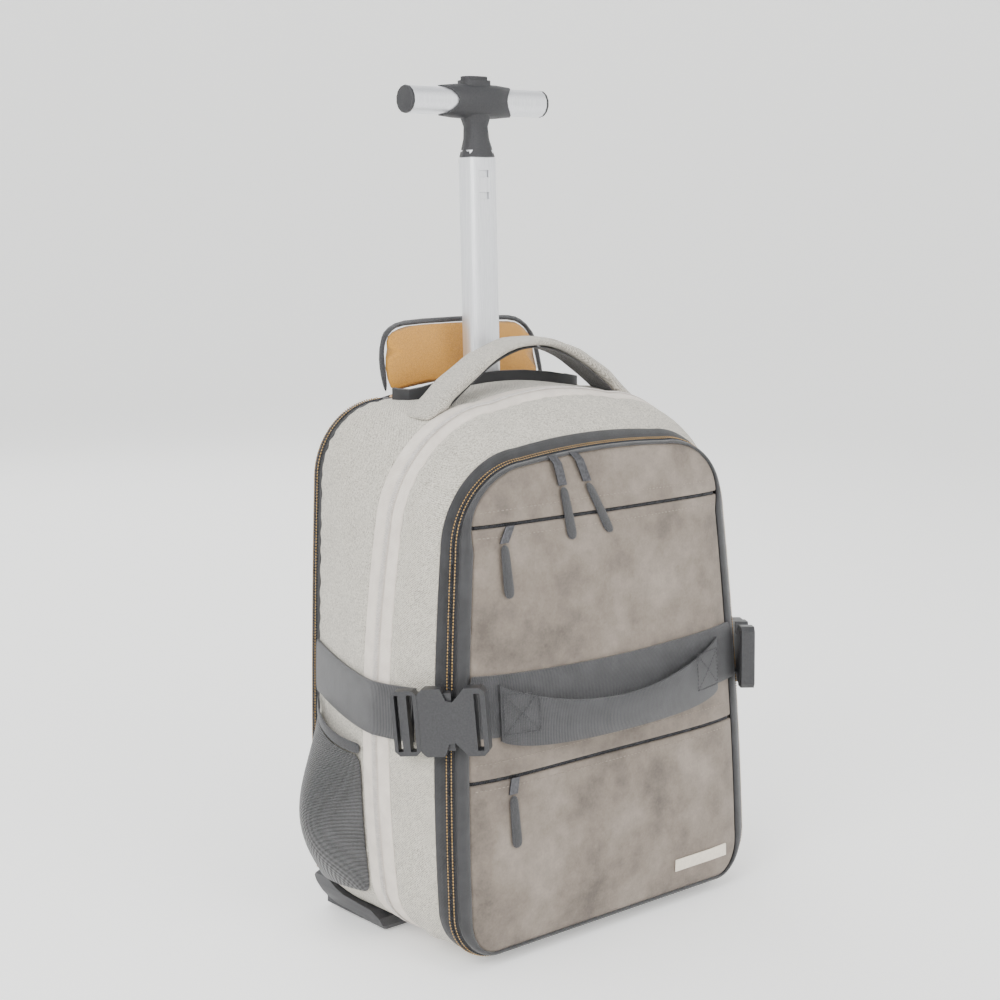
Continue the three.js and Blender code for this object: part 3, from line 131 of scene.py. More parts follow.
forward = np.array([
    math.sin(CAMERA_YAW) * math.cos(CAMERA_PITCH),
    math.cos(CAMERA_YAW) * math.cos(CAMERA_PITCH),
    -math.sin(CAMERA_PITCH),
])
rightward = np.array([math.cos(CAMERA_YAW), -math.sin(CAMERA_YAW), 0])
upward = np.cross(rightward, forward)
camera_data = bpy.data.cameras.new("camera")
camera_data.lens = CAMERA_LENS
camera_data.sensor_width = 36
camera = bpy.data.objects.new("camera", camera_data)
camera.matrix_world = Matrix.Translation(camera_place) @ Matrix(
    np.stack([rightward, upward, -forward], 1).tolist()
).to_4x4()
bpy.context.collection.objects.link(camera)
bpy.context.scene.camera = camera

for lamp_name, place, aim, size, watts in [
    ("key_softbox", (-2.4, -0.9, 1.9), (0, 0, 0.25), 1.6, 62),
    ("front_softbox", (0.1, -2.6, 1.5), (0, 0, 0.25), 1.8, 34),
    ("top_softbox", (-0.3, 0.2, 2.6), (0, 0, 0.2), 1.8, 30),
    ("rear_softbox", (0.8, 2.4, 1.8), (0, 0, 0.3), 1.6, 26),
]:
    lamp_data = bpy.data.lights.new(lamp_name, "AREA")
    lamp_data.size = size
    lamp_data.energy = watts
    lamp = bpy.data.objects.new(lamp_name, lamp_data)
    beam = np.array(aim, float) - np.array(place, float)
    beam /= np.linalg.norm(beam)
    side = np.cross(beam, (0, 0, 1))
    side /= np.linalg.norm(side)
    lamp.matrix_world = Matrix.Translation(place) @ Matrix(
        np.stack([side, np.cross(side, beam), -beam], 1).tolist()
    ).to_4x4()
    bpy.context.collection.objects.link(lamp)


# The bag's form.
# Every sewn piece of the body follows one skin: an outline in X and Z that changes with the depth
# behind the middle zip, wide and bulging at the zip, narrower and lower at the leaning front.
BAG_WIDTH, BAG_HEIGHT = 0.360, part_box("rear_shell")[1].z
REAR_DEPTH, FRONT_DEPTH, FRONT_LEAN = 0.098, 0.077, 0.026
FRONT_SLUMP = 0.008
BAG_MIDDLE = np.array([0, zip_line, BAG_HEIGHT / 2])
SECTION_EASE = 1.5
AROUND = 720
OUTLINES = {
    "rear": dict(
        top_half=0.93, low_half=0.972, bulge=0.02, low=0.026, high=1, crown=0.024,
        top_r=0.17, low_r=0.125,
    ),
    "zip": dict(
        top_half=0.87, low_half=0.955, bulge=0.145, low=0.022, high=1, crown=0.018,
        top_r=0.25, low_r=0.125,
    ),
    "front": dict(
        top_half=0.84, low_half=0.937, bulge=0.04, low=0.02, high=0.915, crown=0.009,
        top_r=0.195, low_r=0.107,
    ),
}
OUTLINE_SCALE = dict(
    top_half=BAG_WIDTH / 2, low_half=BAG_WIDTH / 2, bulge=BAG_WIDTH / 2, low=BAG_HEIGHT, high=BAG_HEIGHT,
    crown=BAG_HEIGHT, top_r=BAG_WIDTH, low_r=BAG_WIDTH,
)
# Where the outline's stretches end, as shares of its half: bottom, low corner, side, top corner.
STRETCHES = (0.18, 0.285, 0.72, 0.905)


def section_at(depth):
    """The outline's sizes at a depth: eased from the zip's to the rear's or the front's."""
    depth = np.asarray(depth, float)
    share = np.clip(np.where(depth > 0, depth / REAR_DEPTH, -depth / FRONT_DEPTH), 0, 1) ** SECTION_EASE
    sizes = {}
    for key, scale in OUTLINE_SCALE.items():
        end = np.where(depth > 0, OUTLINES["rear"][key], OUTLINES["front"][key])
        sizes[key] = scale * (OUTLINES["zip"][key] * (1 - share) + end * share)
    return sizes


def lean_at(depth, z):
    """How far back the leaning front lies: in proportion to the depth in front of the zip and the height."""
    return FRONT_LEAN * np.clip(-np.asarray(depth) / FRONT_DEPTH, 0, 1) * z / BAG_HEIGHT


def outline(turn, depth):
    """X and Z of the skin: straight and circular stretches by the turn, widened by the side's bulge."""
    turn, depth = np.broadcast_arrays(np.asarray(turn, float) % 1, np.asarray(depth, float))
    half, side = np.where(turn <= 0.5, 2 * turn, 2 - 2 * turn), np.where(turn <= 0.5, 1, -1)
    s = section_at(depth)
    a, b, c, d = STRETCHES
    low_x, low_z = s["low_half"] - s["low_r"], s["low"] + s["low_r"]
    top_x, top_z = s["top_half"] - s["top_r"], s["high"] - s["crown"] - s["top_r"]
    low_angle = np.clip((half - a) / (b - a), 0, 1) * np.pi / 2
    rise = np.clip((half - b) / (c - b), 0, 1)
    top_angle = np.clip((half - c) / (d - c), 0, 1) * np.pi / 2
    over = np.clip((half - d) / (1 - d), 0, 1)
    x = np.select(
        [half < a, half < b, half < c, half < d],
        [low_x * half / a, low_x + s["low_r"] * np.sin(low_angle),
         s["low_half"] + (s["top_half"] - s["low_half"]) * rise, top_x + s["top_r"] * np.cos(top_angle)],
        top_x * (1 - over),
    )
    z = np.select(
        [half < a, half < b, half < c, half < d],
        [s["low"], low_z - s["low_r"] * np.cos(low_angle), low_z + (top_z - low_z) * rise,
         top_z + s["top_r"] * np.sin(top_angle)],
        s["high"] - s["crown"] * (1 - over) ** 2,
    )
    height = (z - s["low"]) / (s["high"] - s["low"])
    x = side * x * (1 + s["bulge"] / s["low_half"] * (1 - (2 * height - 1) ** 2))
    left = np.clip(0.5 - x / BAG_WIDTH, 0, 1) ** 1.2
    front = np.clip(-depth / FRONT_DEPTH, 0, 1) ** SECTION_EASE
    return x, z - FRONT_SLUMP * front * left * np.maximum(z / s["high"], 0) ** 3


def outward(turn, depth):
    """The way out of the outline in X and Z: its run between two near turns, turned by a right angle."""
    ahead, behind = outline(np.asarray(turn) + 1e-3, depth), outline(np.asarray(turn) - 1e-3, depth)
    run_x, run_z = ahead[0] - behind[0], ahead[1] - behind[1]
    length = np.hypot(run_x, run_z)
    return run_z / length, -run_x / length


def skin(turn, depth, grow=0.0):
    """Points on the bag's skin by turn and depth behind the middle zip, moved out of the outline by grow
    and carried back by the front's lean."""
    held = np.clip(depth, -FRONT_DEPTH, REAR_DEPTH)
    x, z = outline(turn, held)
    out_x, out_z = outward(turn, held)
    x, z = x + grow * out_x, z + grow * out_z
    return np.stack([x, zip_line + depth + lean_at(np.maximum(depth, -FRONT_DEPTH), z), z], -1)


def ring_band(depths, grows):
    """A grid round the bag: one column for each depth, moved out of the outline by its grow."""
    turn = np.arange(AROUND)[:, None] / AROUND
    return skin(turn, np.asarray(depths, float)[None, :], np.asarray(grows, float))


def along_rows(grid, ring):
    """The distance run from row to row and from column to column, for a pattern's UV."""
    ahead = np.concatenate([grid, grid[:1]]) if ring else grid
    step = np.linalg.norm(np.diff(ahead, axis=0), axis=-1).mean(1)
    u = np.concatenate([[0], np.cumsum(step)])
    width = np.linalg.norm(np.diff(grid, axis=1), axis=-1).mean(0)
    v = np.concatenate([[0], np.cumsum(width)])
    return u, v


def cloth_wall(name, outer, inner, finish, ring=False):
    """A closed wall between two like grids, with a UV map in metres along its rows and columns."""
    rows, columns = outer.shape[:2]
    quads = grid_faces(rows, columns, ring)
    u, v = along_rows(outer, ring)
    r = np.arange(rows if ring else rows - 1)[:, None] + 0 * np.arange(columns - 1)[None, :]
    c = np.arange(columns - 1)[None, :] + 0 * r
    corner_r = np.stack([r, r + 1, r + 1, r], -1).reshape(-1, 4)
    corner_c = np.stack([c, c, c + 1, c + 1], -1).reshape(-1, 4)
    faces, face_u, face_v = [quads], [u[corner_r]], [v[corner_c]]
    inside = rows * columns
    faces.append(quads[:, ::-1] + inside)
    face_u.append(u[corner_r[:, ::-1]])
    face_v.append(v[corner_c[:, ::-1]])
    length = np.arange(rows if ring else rows - 1)
    after = (length + 1) % rows
    for edge, flip in ((0, 1), (columns - 1, -1)):
        strip = np.stack([length * columns + edge, inside + length * columns + edge,
                          inside + after * columns + edge, after * columns + edge], -1)
        faces.append(strip[:, ::flip])
        face_u.append(u[np.stack([length, length, length + 1, length + 1], -1)[:, ::flip]])
        face_v.append(np.full((len(length), 4), v[edge]))
    if not ring:
        across = np.arange(columns - 1)
        for row, flip in ((0, -1), (rows - 1, 1)):
            at = row * columns + across
            strip = np.stack([at, inside + at, inside + at + 1, at + 1], -1)
            faces.append(strip[:, ::flip])
            face_u.append(np.full((len(across), 4), u[row]))
            face_v.append(v[np.stack([across, across, across + 1, across + 1], -1)[:, ::flip]])
    faces = np.concatenate(faces)
    points = np.concatenate([outer.reshape(-1, 3), inner.reshape(-1, 3)])
    a, b, d = points[faces[:, 0]], points[faces[:, 1]], points[faces[:, 3]]
    c = points[faces[:, 2]]
    volume = np.einsum("ij,ij->i", a, np.cross(b, c) + np.cross(c, d)).sum()
    face_u, face_v = np.concatenate(face_u), np.concatenate(face_v)
    if volume < 0:
        faces, face_u, face_v = faces[:, ::-1], face_u[:, ::-1], face_v[:, ::-1]
    piece = new_piece(name, points, faces, finish)
    layer = piece.data.uv_layers.new(name="run")
    layer.data.foreach_set("uv", np.stack([face_u, face_v], -1).astype(np.float32).ravel())
    piece.data.set_sharp_from_angle(angle=math.radians(50))
    return piece


# The twill gussets.
# Two rings of stout sand twill, woven from off-white and dark threads in fine diagonals, between the
# pale middle zip and the black zips. They are cut a little full, so they swell between the tapes,
# pucker by the seams and crease where the front one turns under the bag.
TWILL_PALE, TWILL_MID, TWILL_DARK = (0.62, 0.585, 0.51), (0.36, 0.335, 0.285), (0.135, 0.125, 0.11)
TWILL_RIB = 0.00185
TWILL_THREAD = 0.00062
TWILL_WALL = 0.003
FRONT_SWELL, REAR_SWELL, CORNER_FOLD = 0.0022, 0.0018, 0.0012
MIDDLE_HALF = 0.018
FRONT_TAPE = 0.012
SEAM_GAP = 0.0003


def uv_run(tree):
    """The piece's own UV map, in metres along and across."""
    uv = tree.nodes.new("ShaderNodeUVMap")
    uv.uv_map = "run"
    return uv.outputs["UV"]


def sum_node(tree, kind, first, second=None):
    """One Math node of the given kind; each side is a socket or a number."""
    node = tree.nodes.new("ShaderNodeMath")
    node.operation = kind
    for socket, value in zip(node.inputs, (first, second)):
        if isinstance(value, (int, float)):
            socket.default_value = value
        elif value is not None:
            tree.links.new(value, socket)
    return node.outputs[0]


def speckle(tree, vector, scale, detail=2.0, roughness=0.55):
    """A noise field between 0 and 1 of the given scale, in cells per metre of its vector."""
    noise = tree.nodes.new("ShaderNodeTexNoise")
    noise.inputs["Scale"].default_value = scale
    noise.inputs["Detail"].default_value = detail
    noise.inputs["Roughness"].default_value = roughness
    tree.links.new(vector, noise.inputs["Vector"])
    return noise.outputs["Fac"]


def graded(tree, value, *stops):
    """A colour ramp through (position, colour) stops."""
    ramp = tree.nodes.new("ShaderNodeValToRGB")
    for element, (position, colour) in zip(ramp.color_ramp.elements, (stops[0], stops[-1])):
        element.position, element.color = position, (*colour, 1)
    for position, colour in stops[1:-1]:
        ramp.color_ramp.elements.new(position).color = (*colour, 1)
    tree.links.new(value, ramp.inputs["Fac"])
    return ramp.outputs["Color"]


def relief(tree, shader, height, distance, strength=1.0):
    """A bump from a height field, on the shader's normal."""
    bump = tree.nodes.new("ShaderNodeBump")
    bump.inputs["Distance"].default_value = distance
    bump.inputs["Strength"].default_value = strength
    tree.links.new(height, bump.inputs["Height"])
    tree.links.new(bump.outputs["Normal"], shader.inputs["Normal"])


def twill_finish(name, pale, mid, dark):
    """Diagonal ribs of random light and dark threads: the rib is a wave of u + v, and each thread's
    shade is a random value of its cell along and across the rib."""
    material, tree, shader = finish_nodes(name)
    run = uv_run(tree)
    parts = tree.nodes.new("ShaderNodeSeparateXYZ")
    tree.links.new(run, parts.inputs[0])
    diagonal = sum_node(tree, "ADD", parts.outputs[0], parts.outputs[1])
    rib = sum_node(tree, "SINE", sum_node(tree, "MULTIPLY", diagonal, 2 * math.pi / TWILL_RIB))
    cell = tree.nodes.new("ShaderNodeCombineXYZ")
    for source, socket in ((diagonal, cell.inputs[0]), (parts.outputs[1], cell.inputs[1])):
        tree.links.new(sum_node(tree, "FLOOR", sum_node(tree, "DIVIDE", source, TWILL_THREAD)), socket)
    shade = tree.nodes.new("ShaderNodeTexWhiteNoise")
    tree.links.new(cell.outputs[0], shade.inputs["Vector"])
    patch = speckle(tree, run, 42, 3)
    mottle = speckle(tree, run, 900, 2)
    thread = sum_node(tree, "ADD", sum_node(tree, "MULTIPLY", shade.outputs["Value"], 0.42),
                      sum_node(tree, "MULTIPLY", mottle, 0.46))
    wave = sum_node(tree, "MULTIPLY", sum_node(tree, "ADD", rib, 1.0), 0.13)
    tone = sum_node(tree, "SUBTRACT", sum_node(tree, "ADD", thread, wave),
                    sum_node(tree, "MULTIPLY", patch, 0.12))
    tree.links.new(graded(tree, tone, (0.16, dark), (0.42, mid), (0.66, pale)), shader.inputs["Base Color"])
    shader.inputs["Roughness"].default_value = 0.92
    shader.inputs["Sheen Weight"].default_value = 0.25
    shader.inputs["Sheen Roughness"].default_value = 0.6
    shader.inputs["Specular IOR Level"].default_value = 0.2
    relief(tree, shader, sum_node(tree, "ADD", sum_node(tree, "MULTIPLY", rib, 0.5), thread), 0.0004, 0.7)
    return material


twill = twill_finish("sand_twill", TWILL_PALE, TWILL_MID, TWILL_DARK)


def ripple(turn, waves, seed):
    """A smooth closed random line round the bag: a sum of sines with seeded phases."""
    chance = np.random.default_rng(seed)
    total = np.zeros_like(turn)
    for wave in waves:
        total += np.sin(2 * np.pi * wave * turn + chance.uniform(0, 6.28)) * chance.uniform(0.4, 1)
    return total / math.sqrt(len(waves))


def gusset(name, near, far, swell, columns, fold_amount):
    """A twill ring between two depths: it swells as a half sine across its width, with seam puckers
    that fade from both edges and creases under the bag's low corners."""
    across = np.linspace(0, 1, columns)
    turn = np.arange(AROUND)[:, None] / AROUND
    edge = np.minimum(across, 1 - across)
    grow = swell * np.sin(np.pi * across) ** 0.6 + 0 * turn
    grow += 0.0007 * ripple(turn, (61, 83, 97, 113), 3) * np.exp(-edge / 0.12)
    grow += 0.0011 * ripple(turn + 0.1 * across, (5, 8, 13), 5) * np.sin(np.pi * across)
    low_corner = np.exp(-((np.abs(turn - 0.5) - 0.375) / 0.035) ** 2)
    grow += fold_amount * low_corner * np.sin(2 * np.pi * (turn * 46 + 1.3 * across)) * np.sin(np.pi * across)
    depths = near + (far - near) * across
    outer = ring_band(depths, grow)
    inner = ring_band(depths, -TWILL_WALL + 0 * grow)
    return cloth_wall(name, outer, inner, twill, ring=True)


front_seam = -FRONT_DEPTH + FRONT_TAPE + SEAM_GAP
front_gusset = gusset("front_gusset", -MIDDLE_HALF - SEAM_GAP, front_seam, FRONT_SWELL, 26, CORNER_FOLD)
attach(front_gusset, "bag")
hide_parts("front_shell")


def face_out(piece):
    """Turn every face of a closed piece outwards."""
    shape = bmesh.new()
    shape.from_mesh(piece.data)
    bmesh.ops.recalc_face_normals(shape, faces=shape.faces)
    shape.to_mesh(piece.data)
    shape.free()


def prism(corners, axis, low, high):
    """A closed straight-sided block: an outline in the two other axes, carried from low to high."""
    corners = np.asarray(corners, float)
    count = len(corners)
    points = np.zeros((2, count, 3))
    points[..., [i for i in range(3) if i != axis]] = corners
    points[0, :, axis], points[1, :, axis] = low, high
    faces = [(i, (i + 1) % count, count + (i + 1) % count, count + i) for i in range(count)]
    faces += [tuple(range(count))[::-1], tuple(range(count, 2 * count))]
    block = new_piece("room", points, faces, smooth=False)
    face_out(block)
    block.hide_render = True
    return block


def rectangle(low_a, high_a, low_b, high_b):
    """The four corners of an upright rectangle, in order."""
    return [(low_a, low_b), (high_a, low_b), (high_a, high_b), (low_a, high_b)]


def carve(piece, *rooms):
    """Cut closed blocks out of a closed piece, keeping its UV map, and bake the result into its mesh."""
    for number, room in enumerate(rooms):
        cut = piece.modifiers.new(f"room_{number}", "BOOLEAN")
        cut.operation, cut.solver, cut.object = "DIFFERENCE", "EXACT", room
    bpy.context.view_layer.update()
    baked = bpy.data.meshes.new_from_object(piece.evaluated_get(bpy.context.evaluated_depsgraph_get()))
    piece.modifiers.clear()
    piece.data = baked


# The rear gusset leaves room for the handle's garage in the top and for the wheel housings below.
HOUSING_CHEEK, HOUSING_WALL, WHEEL_CLEARANCE, WHEEL_SIDE = 0.004, 0.003, 0.003, 0.0015
GUARD_LOW, GUARD_HIGH, GUARD_HIGH_RUN, GUARD_SLOPE_RUN = 0.021, 0.037, 0.018, 0.016
GARAGE_ROUND = 0.006
garage_low, garage_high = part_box("garage_pocket")
housing_low, housing_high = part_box("wheel_housing_left")
tyre_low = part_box("tyre_left")[0]
garage_half = garage_high.x + SEAM_GAP
garage_front, garage_back = garage_low.y - SEAM_GAP, garage_high.y + SEAM_GAP
garage_outline = [
    (garage_half - GARAGE_ROUND, garage_front), (garage_half, garage_front + GARAGE_ROUND),
    (garage_half, garage_back), (-garage_half, garage_back),
    (-garage_half, garage_front + GARAGE_ROUND), (-garage_half + GARAGE_ROUND, garage_front),
]
garage_room = prism(garage_outline, 2, garage_low.z, BAG_HEIGHT + 0.05)
slope_end = housing_high.y - GUARD_HIGH_RUN - GUARD_SLOPE_RUN
guard_outline = [
    (housing_low.y - SEAM_GAP, -0.03), (0.2, -0.03), (0.2, GUARD_HIGH + SEAM_GAP),
    (housing_high.y - GUARD_HIGH_RUN, GUARD_HIGH + SEAM_GAP), (slope_end, GUARD_LOW + 0.0035),
    (housing_low.y - SEAM_GAP, GUARD_LOW - 0.0005),
]
well_front = tyre_low.y - WHEEL_CLEARANCE - HOUSING_CHEEK - SEAM_GAP
well_outer = -tyre_low.x + WHEEL_SIDE + HOUSING_WALL + SEAM_GAP
wheel_rooms = []
for side in (-1, 1):
    inner = side * (-housing_high.x - SEAM_GAP)
    wheel_rooms.append(prism(guard_outline, 0, *sorted((inner, side * 0.25))))
    well = rectangle(well_front, 0.2, -0.03, housing_high.z + SEAM_GAP)
    wheel_rooms.append(prism(well, 0, *sorted((inner, side * well_outer))))
rear_gusset = gusset("rear_gusset", MIDDLE_HALF + SEAM_GAP, REAR_DEPTH, REAR_SWELL, 40, 0.0)
carve(rear_gusset, garage_room, *wheel_rooms)
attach(rear_gusset, "bag")
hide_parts("rear_shell")


# The middle zip.
# A pale beige tape runs right round the bag between the gussets: two folded flaps of fine ribbed
# tape over a nylon coil of the same colour, whose turns show as a line of small ticks.
TAPE_BEIGE, TAPE_SHADE, COIL_BEIGE = (0.76, 0.695, 0.62), (0.60, 0.54, 0.48), (0.66, 0.62, 0.585)
COIL_PITCH = 0.0021


def ribbed_finish(name, light, shade, pitch, roughness=0.8, depth=0.00025, sheen=0.15):
    """Tape or webbing: fine ribs across the run, crossed by a finer rib along it, in two tones."""
    material, tree, shader = finish_nodes(name)
    run = uv_run(tree)
    parts = tree.nodes.new("ShaderNodeSeparateXYZ")
    tree.links.new(run, parts.inputs[0])
    across = sum_node(tree, "SINE", sum_node(tree, "MULTIPLY", parts.outputs[0], 2 * math.pi / pitch))
    along = sum_node(tree, "SINE", sum_node(tree, "MULTIPLY", parts.outputs[1], 3.1 * math.pi / pitch))
    weave = sum_node(tree, "ADD", across, sum_node(tree, "MULTIPLY", along, 0.6))
    patch = speckle(tree, run, 70, 4)
    tone = sum_node(tree, "ADD", sum_node(tree, "MULTIPLY", weave, 0.13), patch)
    tree.links.new(graded(tree, tone, (0.25, shade), (0.75, light)), shader.inputs["Base Color"])
    shader.inputs["Roughness"].default_value = roughness
    shader.inputs["Sheen Weight"].default_value = sheen
    relief(tree, shader, weave, depth, 0.6)
    return material


def grained_finish(name, light, shade, roughness, scale=260, metal=0.0, depth=0.00006):
    """Moulded or spun stuff: two tones in a fine noise of the object's own coordinates, and a little
    relief from the same noise."""
    material, tree, shader = finish_nodes(name)
    place = tree.nodes.new("ShaderNodeTexCoord").outputs["Object"]
    grain = speckle(tree, place, scale, 4)
    tree.links.new(graded(tree, grain, (0.3, shade), (0.7, light)), shader.inputs["Base Color"])
    shader.inputs["Roughness"].default_value = roughness
    shader.inputs["Metallic"].default_value = metal
    relief(tree, shader, grain, depth, 0.5)
    return material


beige_tape = ribbed_finish("beige_tape", TAPE_BEIGE, TAPE_SHADE, 0.0013)
tape_share = np.linspace(-1, 1, 41)
flap_rise = 0.0010 * np.sqrt(np.clip(1 - ((np.abs(tape_share) - 0.60) / 0.40) ** 2, 0, 1))
coil_rise = 0.0002 + 0.0005 * np.sqrt(np.clip(1 - (tape_share / 0.16) ** 2, 0, 1))
tape_grow = np.where(np.abs(tape_share) > 0.2, flap_rise, coil_rise)
middle_tape = cloth_wall(
    "middle_tape",
    ring_band(-MIDDLE_HALF * tape_share, tape_grow + 0.0002),
    ring_band(-MIDDLE_HALF * tape_share, -0.0025 + 0 * tape_share),
    beige_tape, ring=True,
)
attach(middle_tape, "bag")
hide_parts("middle_zip")


def unit(vectors):
    """Vectors of length one."""
    return vectors / np.linalg.norm(vectors, axis=-1, keepdims=True)


def line_frames(surface, share, pitch):
    """Places a pitch apart along a line of one share on surface(turn, share): the point, and the
    directions along the line, across it and out of the surface, by central differences."""
    turns = np.linspace(0, 1, 4001)
    line = surface(turns, share + 0 * turns)
    length = np.concatenate([[0], np.cumsum(np.linalg.norm(np.diff(line, axis=0), axis=1))])
    count = max(int(length[-1] / pitch), 1)
    turn = np.interp((np.arange(count) + 0.5) * length[-1] / count, length, turns)
    shares = share + 0 * turn
    place = surface(turn, shares)
    along = unit(surface(turn + 1e-4, shares) - surface(turn - 1e-4, shares))
    across = surface(turn, shares + 1e-3) - surface(turn, shares - 1e-3)
    across = unit(across - (across * along).sum(-1, keepdims=True) * along)
    out = np.cross(along, across)
    out *= np.sign(((place - BAG_MIDDLE) * out).sum(-1, keepdims=True))
    return place, along, across, out


def kept(frames, mask):
    """Those frames for which the mask is true."""
    return tuple(part[mask] for part in frames)


def round_bead(length, width, height, sides=6, rings=5):
    """A small lozenge with round ends, lying along its first axis: its half-width follows a half
    circle's root. Returns its points in (along, across, out) and its faces."""
    share = np.linspace(-1, 1, rings)
    size = np.sqrt(np.clip(1 - share**4, 0.02, 1))
    angle = np.linspace(0, 2 * np.pi, sides, endpoint=False)
    grid = np.stack([
        np.repeat(share * length / 2, sides),
        (size[:, None] * np.cos(angle)).ravel() * width / 2,
        (size[:, None] * np.sin(angle)).ravel() * height / 2,
    ], -1)
    faces = []
    for ring in range(rings - 1):
        for side in range(sides):
            a, b = ring * sides + side, ring * sides + (side + 1) % sides
            faces.append((a, b, b + sides, a + sides))
    faces.append(tuple(range(sides))[::-1])
    faces.append(tuple(range((rings - 1) * sides, rings * sides)))
    return grid, faces


def repeated(name, template, frames, finish, turn=0.0, shift=(0.0, 0.0, 0.0)):
    """Copies of a small template, one at each frame, turned in the skin by an angle and shifted in
    (along, across, out), joined as one mesh."""
    shape, faces = template
    place, along, across, out = frames
    cos, sin = math.cos(turn), math.sin(turn)
    a = shape[:, 0] * cos - shape[:, 1] * sin + shift[0]
    b = shape[:, 0] * sin + shape[:, 1] * cos + shift[1]
    c = shape[:, 2] + shift[2]
    points = (place[:, None] + a[:, None] * along[:, None] + b[:, None] * across[:, None]
              + c[:, None] * out[:, None])
    handed = np.sign(np.einsum("ij,ij->i", np.cross(along, across), out))
    every = []
    for number in range(len(place)):
        base = number * len(shape)
        every += [tuple(base + i for i in (f if handed[number] > 0 else f[::-1])) for f in faces]
    return new_piece(name, points, every, finish)


def middle_line(turn, depth):
    """The zip's own surface: the skin, a little proud, by turn and depth."""
    return skin(turn, depth, 0.0013)


coil_beige = grained_finish("coil_beige", COIL_BEIGE, tuple(0.72 * c for c in COIL_BEIGE), 0.35)
coil_turn = round_bead(0.0013, 0.0044, 0.0012)
for side in (-1, 1):
    frames = line_frames(middle_line, side * 0.0014, COIL_PITCH)
    coil = repeated(f"middle_coil_{'front' if side < 0 else 'rear'}", coil_turn, frames, coil_beige,
                    turn=side * 0.35, shift=(side * COIL_PITCH / 4, 0, 0))
    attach(coil, "bag")


# The black zips.
# Heavy charcoal zips close the bag in front and behind: a woven tape, a chain of interlocking black
# turns held by two lines of gold thread, and at the front a soft round piping next to the leather.
CHARCOAL, CHARCOAL_DEEP, THREAD_GOLD = (0.024, 0.024, 0.027), (0.008, 0.008, 0.009), (0.52, 0.31, 0.09)
FRONT_REACH, FRONT_RIM, FRONT_RIM_LEAST = 0.009, 0.0155, 0.003
SIDE_SHARE, CHAIN_SHARE, PIPING_SHARE = 0.30, 0.455, 0.61
CHAIN_PITCH, THREAD_PITCH = 0.0023, 0.0026
REAR_REACH, REAR_RIM, REAR_ROUND = 0.014, 0.014, 0.003


def drawn_in(turn, share, more=0.0):
    """How far the front zip's loop lies inside the outline: its rim is wide along the sides, by a power
    of the way out, and narrow along the top and bottom."""
    out_x, out_z = outward(turn, -FRONT_DEPTH)
    side = np.abs(out_x) ** np.where(out_z > 0, 8, 2)
    return -share * (FRONT_RIM_LEAST + (FRONT_RIM - FRONT_RIM_LEAST) * side) - more


def front_band(turn, share):
    """The front zip's surface: straight along the side face, then a quarter of an ellipse round onto
    the front."""
    side = np.clip(share / SIDE_SHARE, 0, 1)
    angle = np.clip((share - SIDE_SHARE) / (1 - SIDE_SHARE), 0, 1) * np.pi / 2
    start, curve = -FRONT_DEPTH + FRONT_TAPE, FRONT_REACH / 3
    depth = start - (FRONT_TAPE - curve) * side - (FRONT_REACH + curve) * np.sin(angle)
    return skin(turn, depth, drawn_in(turn, (1 - np.cos(angle)) ** 0.85))


def rear_band(turn, share):
    """The rear zip's surface: straight back from the twill, round a small corner and in over the back."""
    out = np.clip(share / 0.42, 0, 1)
    angle = np.clip((share - 0.42) / 0.16, 0, 1) * np.pi / 2
    inward = np.clip((share - 0.58) / 0.42, 0, 1)
    depth = REAR_DEPTH + SEAM_GAP + (REAR_REACH - REAR_ROUND - SEAM_GAP) * out + REAR_ROUND * np.sin(angle)
    return skin(turn, depth, -REAR_ROUND * (1 - np.cos(angle)) - (REAR_RIM - REAR_ROUND) * inward)


def normals(grid, ring=False):
    """The way out of a grid at each point: the cross product of its runs along and across."""
    along = np.roll(grid, -1, 0) - np.roll(grid, 1, 0) if ring else np.gradient(grid, axis=0)
    out = unit(np.cross(along, np.gradient(grid, axis=1)))
    return out * np.sign(((grid - BAG_MIDDLE) * out).sum())


def band_wall(name, surface, share_from, share_to, columns, height, thickness, finish):
    """A closed ring of a surface between two shares, raised by height(share from 0 to 1 across it)."""
    across = np.linspace(0, 1, columns)
    turn = np.arange(AROUND)[:, None] / AROUND
    grid = surface(turn, (share_from + (share_to - share_from) * across)[None, :])
    out = normals(grid, ring=True)
    rise = np.broadcast_to(height(across), grid.shape[:2])[..., None]
    return cloth_wall(name, grid + out * rise, grid - out * thickness, finish, ring=True)


charcoal_tape = ribbed_finish("charcoal_tape", CHARCOAL, CHARCOAL_DEEP, 0.0011, 0.75)
piping_cloth = ribbed_finish("piping_cloth", CHARCOAL, CHARCOAL_DEEP, 0.0008, 0.6, 0.0001, 0.3)
chain_black = grained_finish("chain_black", (0.05, 0.052, 0.06), (0.012, 0.012, 0.014), 0.22)
gold_thread = grained_finish("gold_thread", THREAD_GOLD, tuple(0.6 * c for c in THREAD_GOLD), 0.55, 900)


def chain_on(name, surface, share, keep=None):
    """A chain of teeth along one share of a surface with a gold thread on each side of its middle."""
    tooth = round_bead(0.0013, 0.0038, 0.0016)
    thread = round_bead(0.0020, 0.0009, 0.0008, sides=5, rings=4)
    for side in (-1, 1):
        label = "outer" if side < 0 else "inner"
        frames = line_frames(surface, share, CHAIN_PITCH)
        frames = kept(frames, keep(frames[0])) if keep else frames
        teeth = repeated(f"{name}_teeth_{label}", tooth, frames, chain_black, turn=side * 0.3,
                         shift=(side * CHAIN_PITCH / 4, side * 0.0017, 0.0008))
        frames = line_frames(surface, share, THREAD_PITCH)
        frames = kept(frames, keep(frames[0])) if keep else frames
        gold = repeated(f"{name}_thread_{label}", thread, frames, gold_thread,
                        shift=(0, side * 0.0021, 0.0017))
        for piece in (teeth, gold):
            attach(piece, "bag")


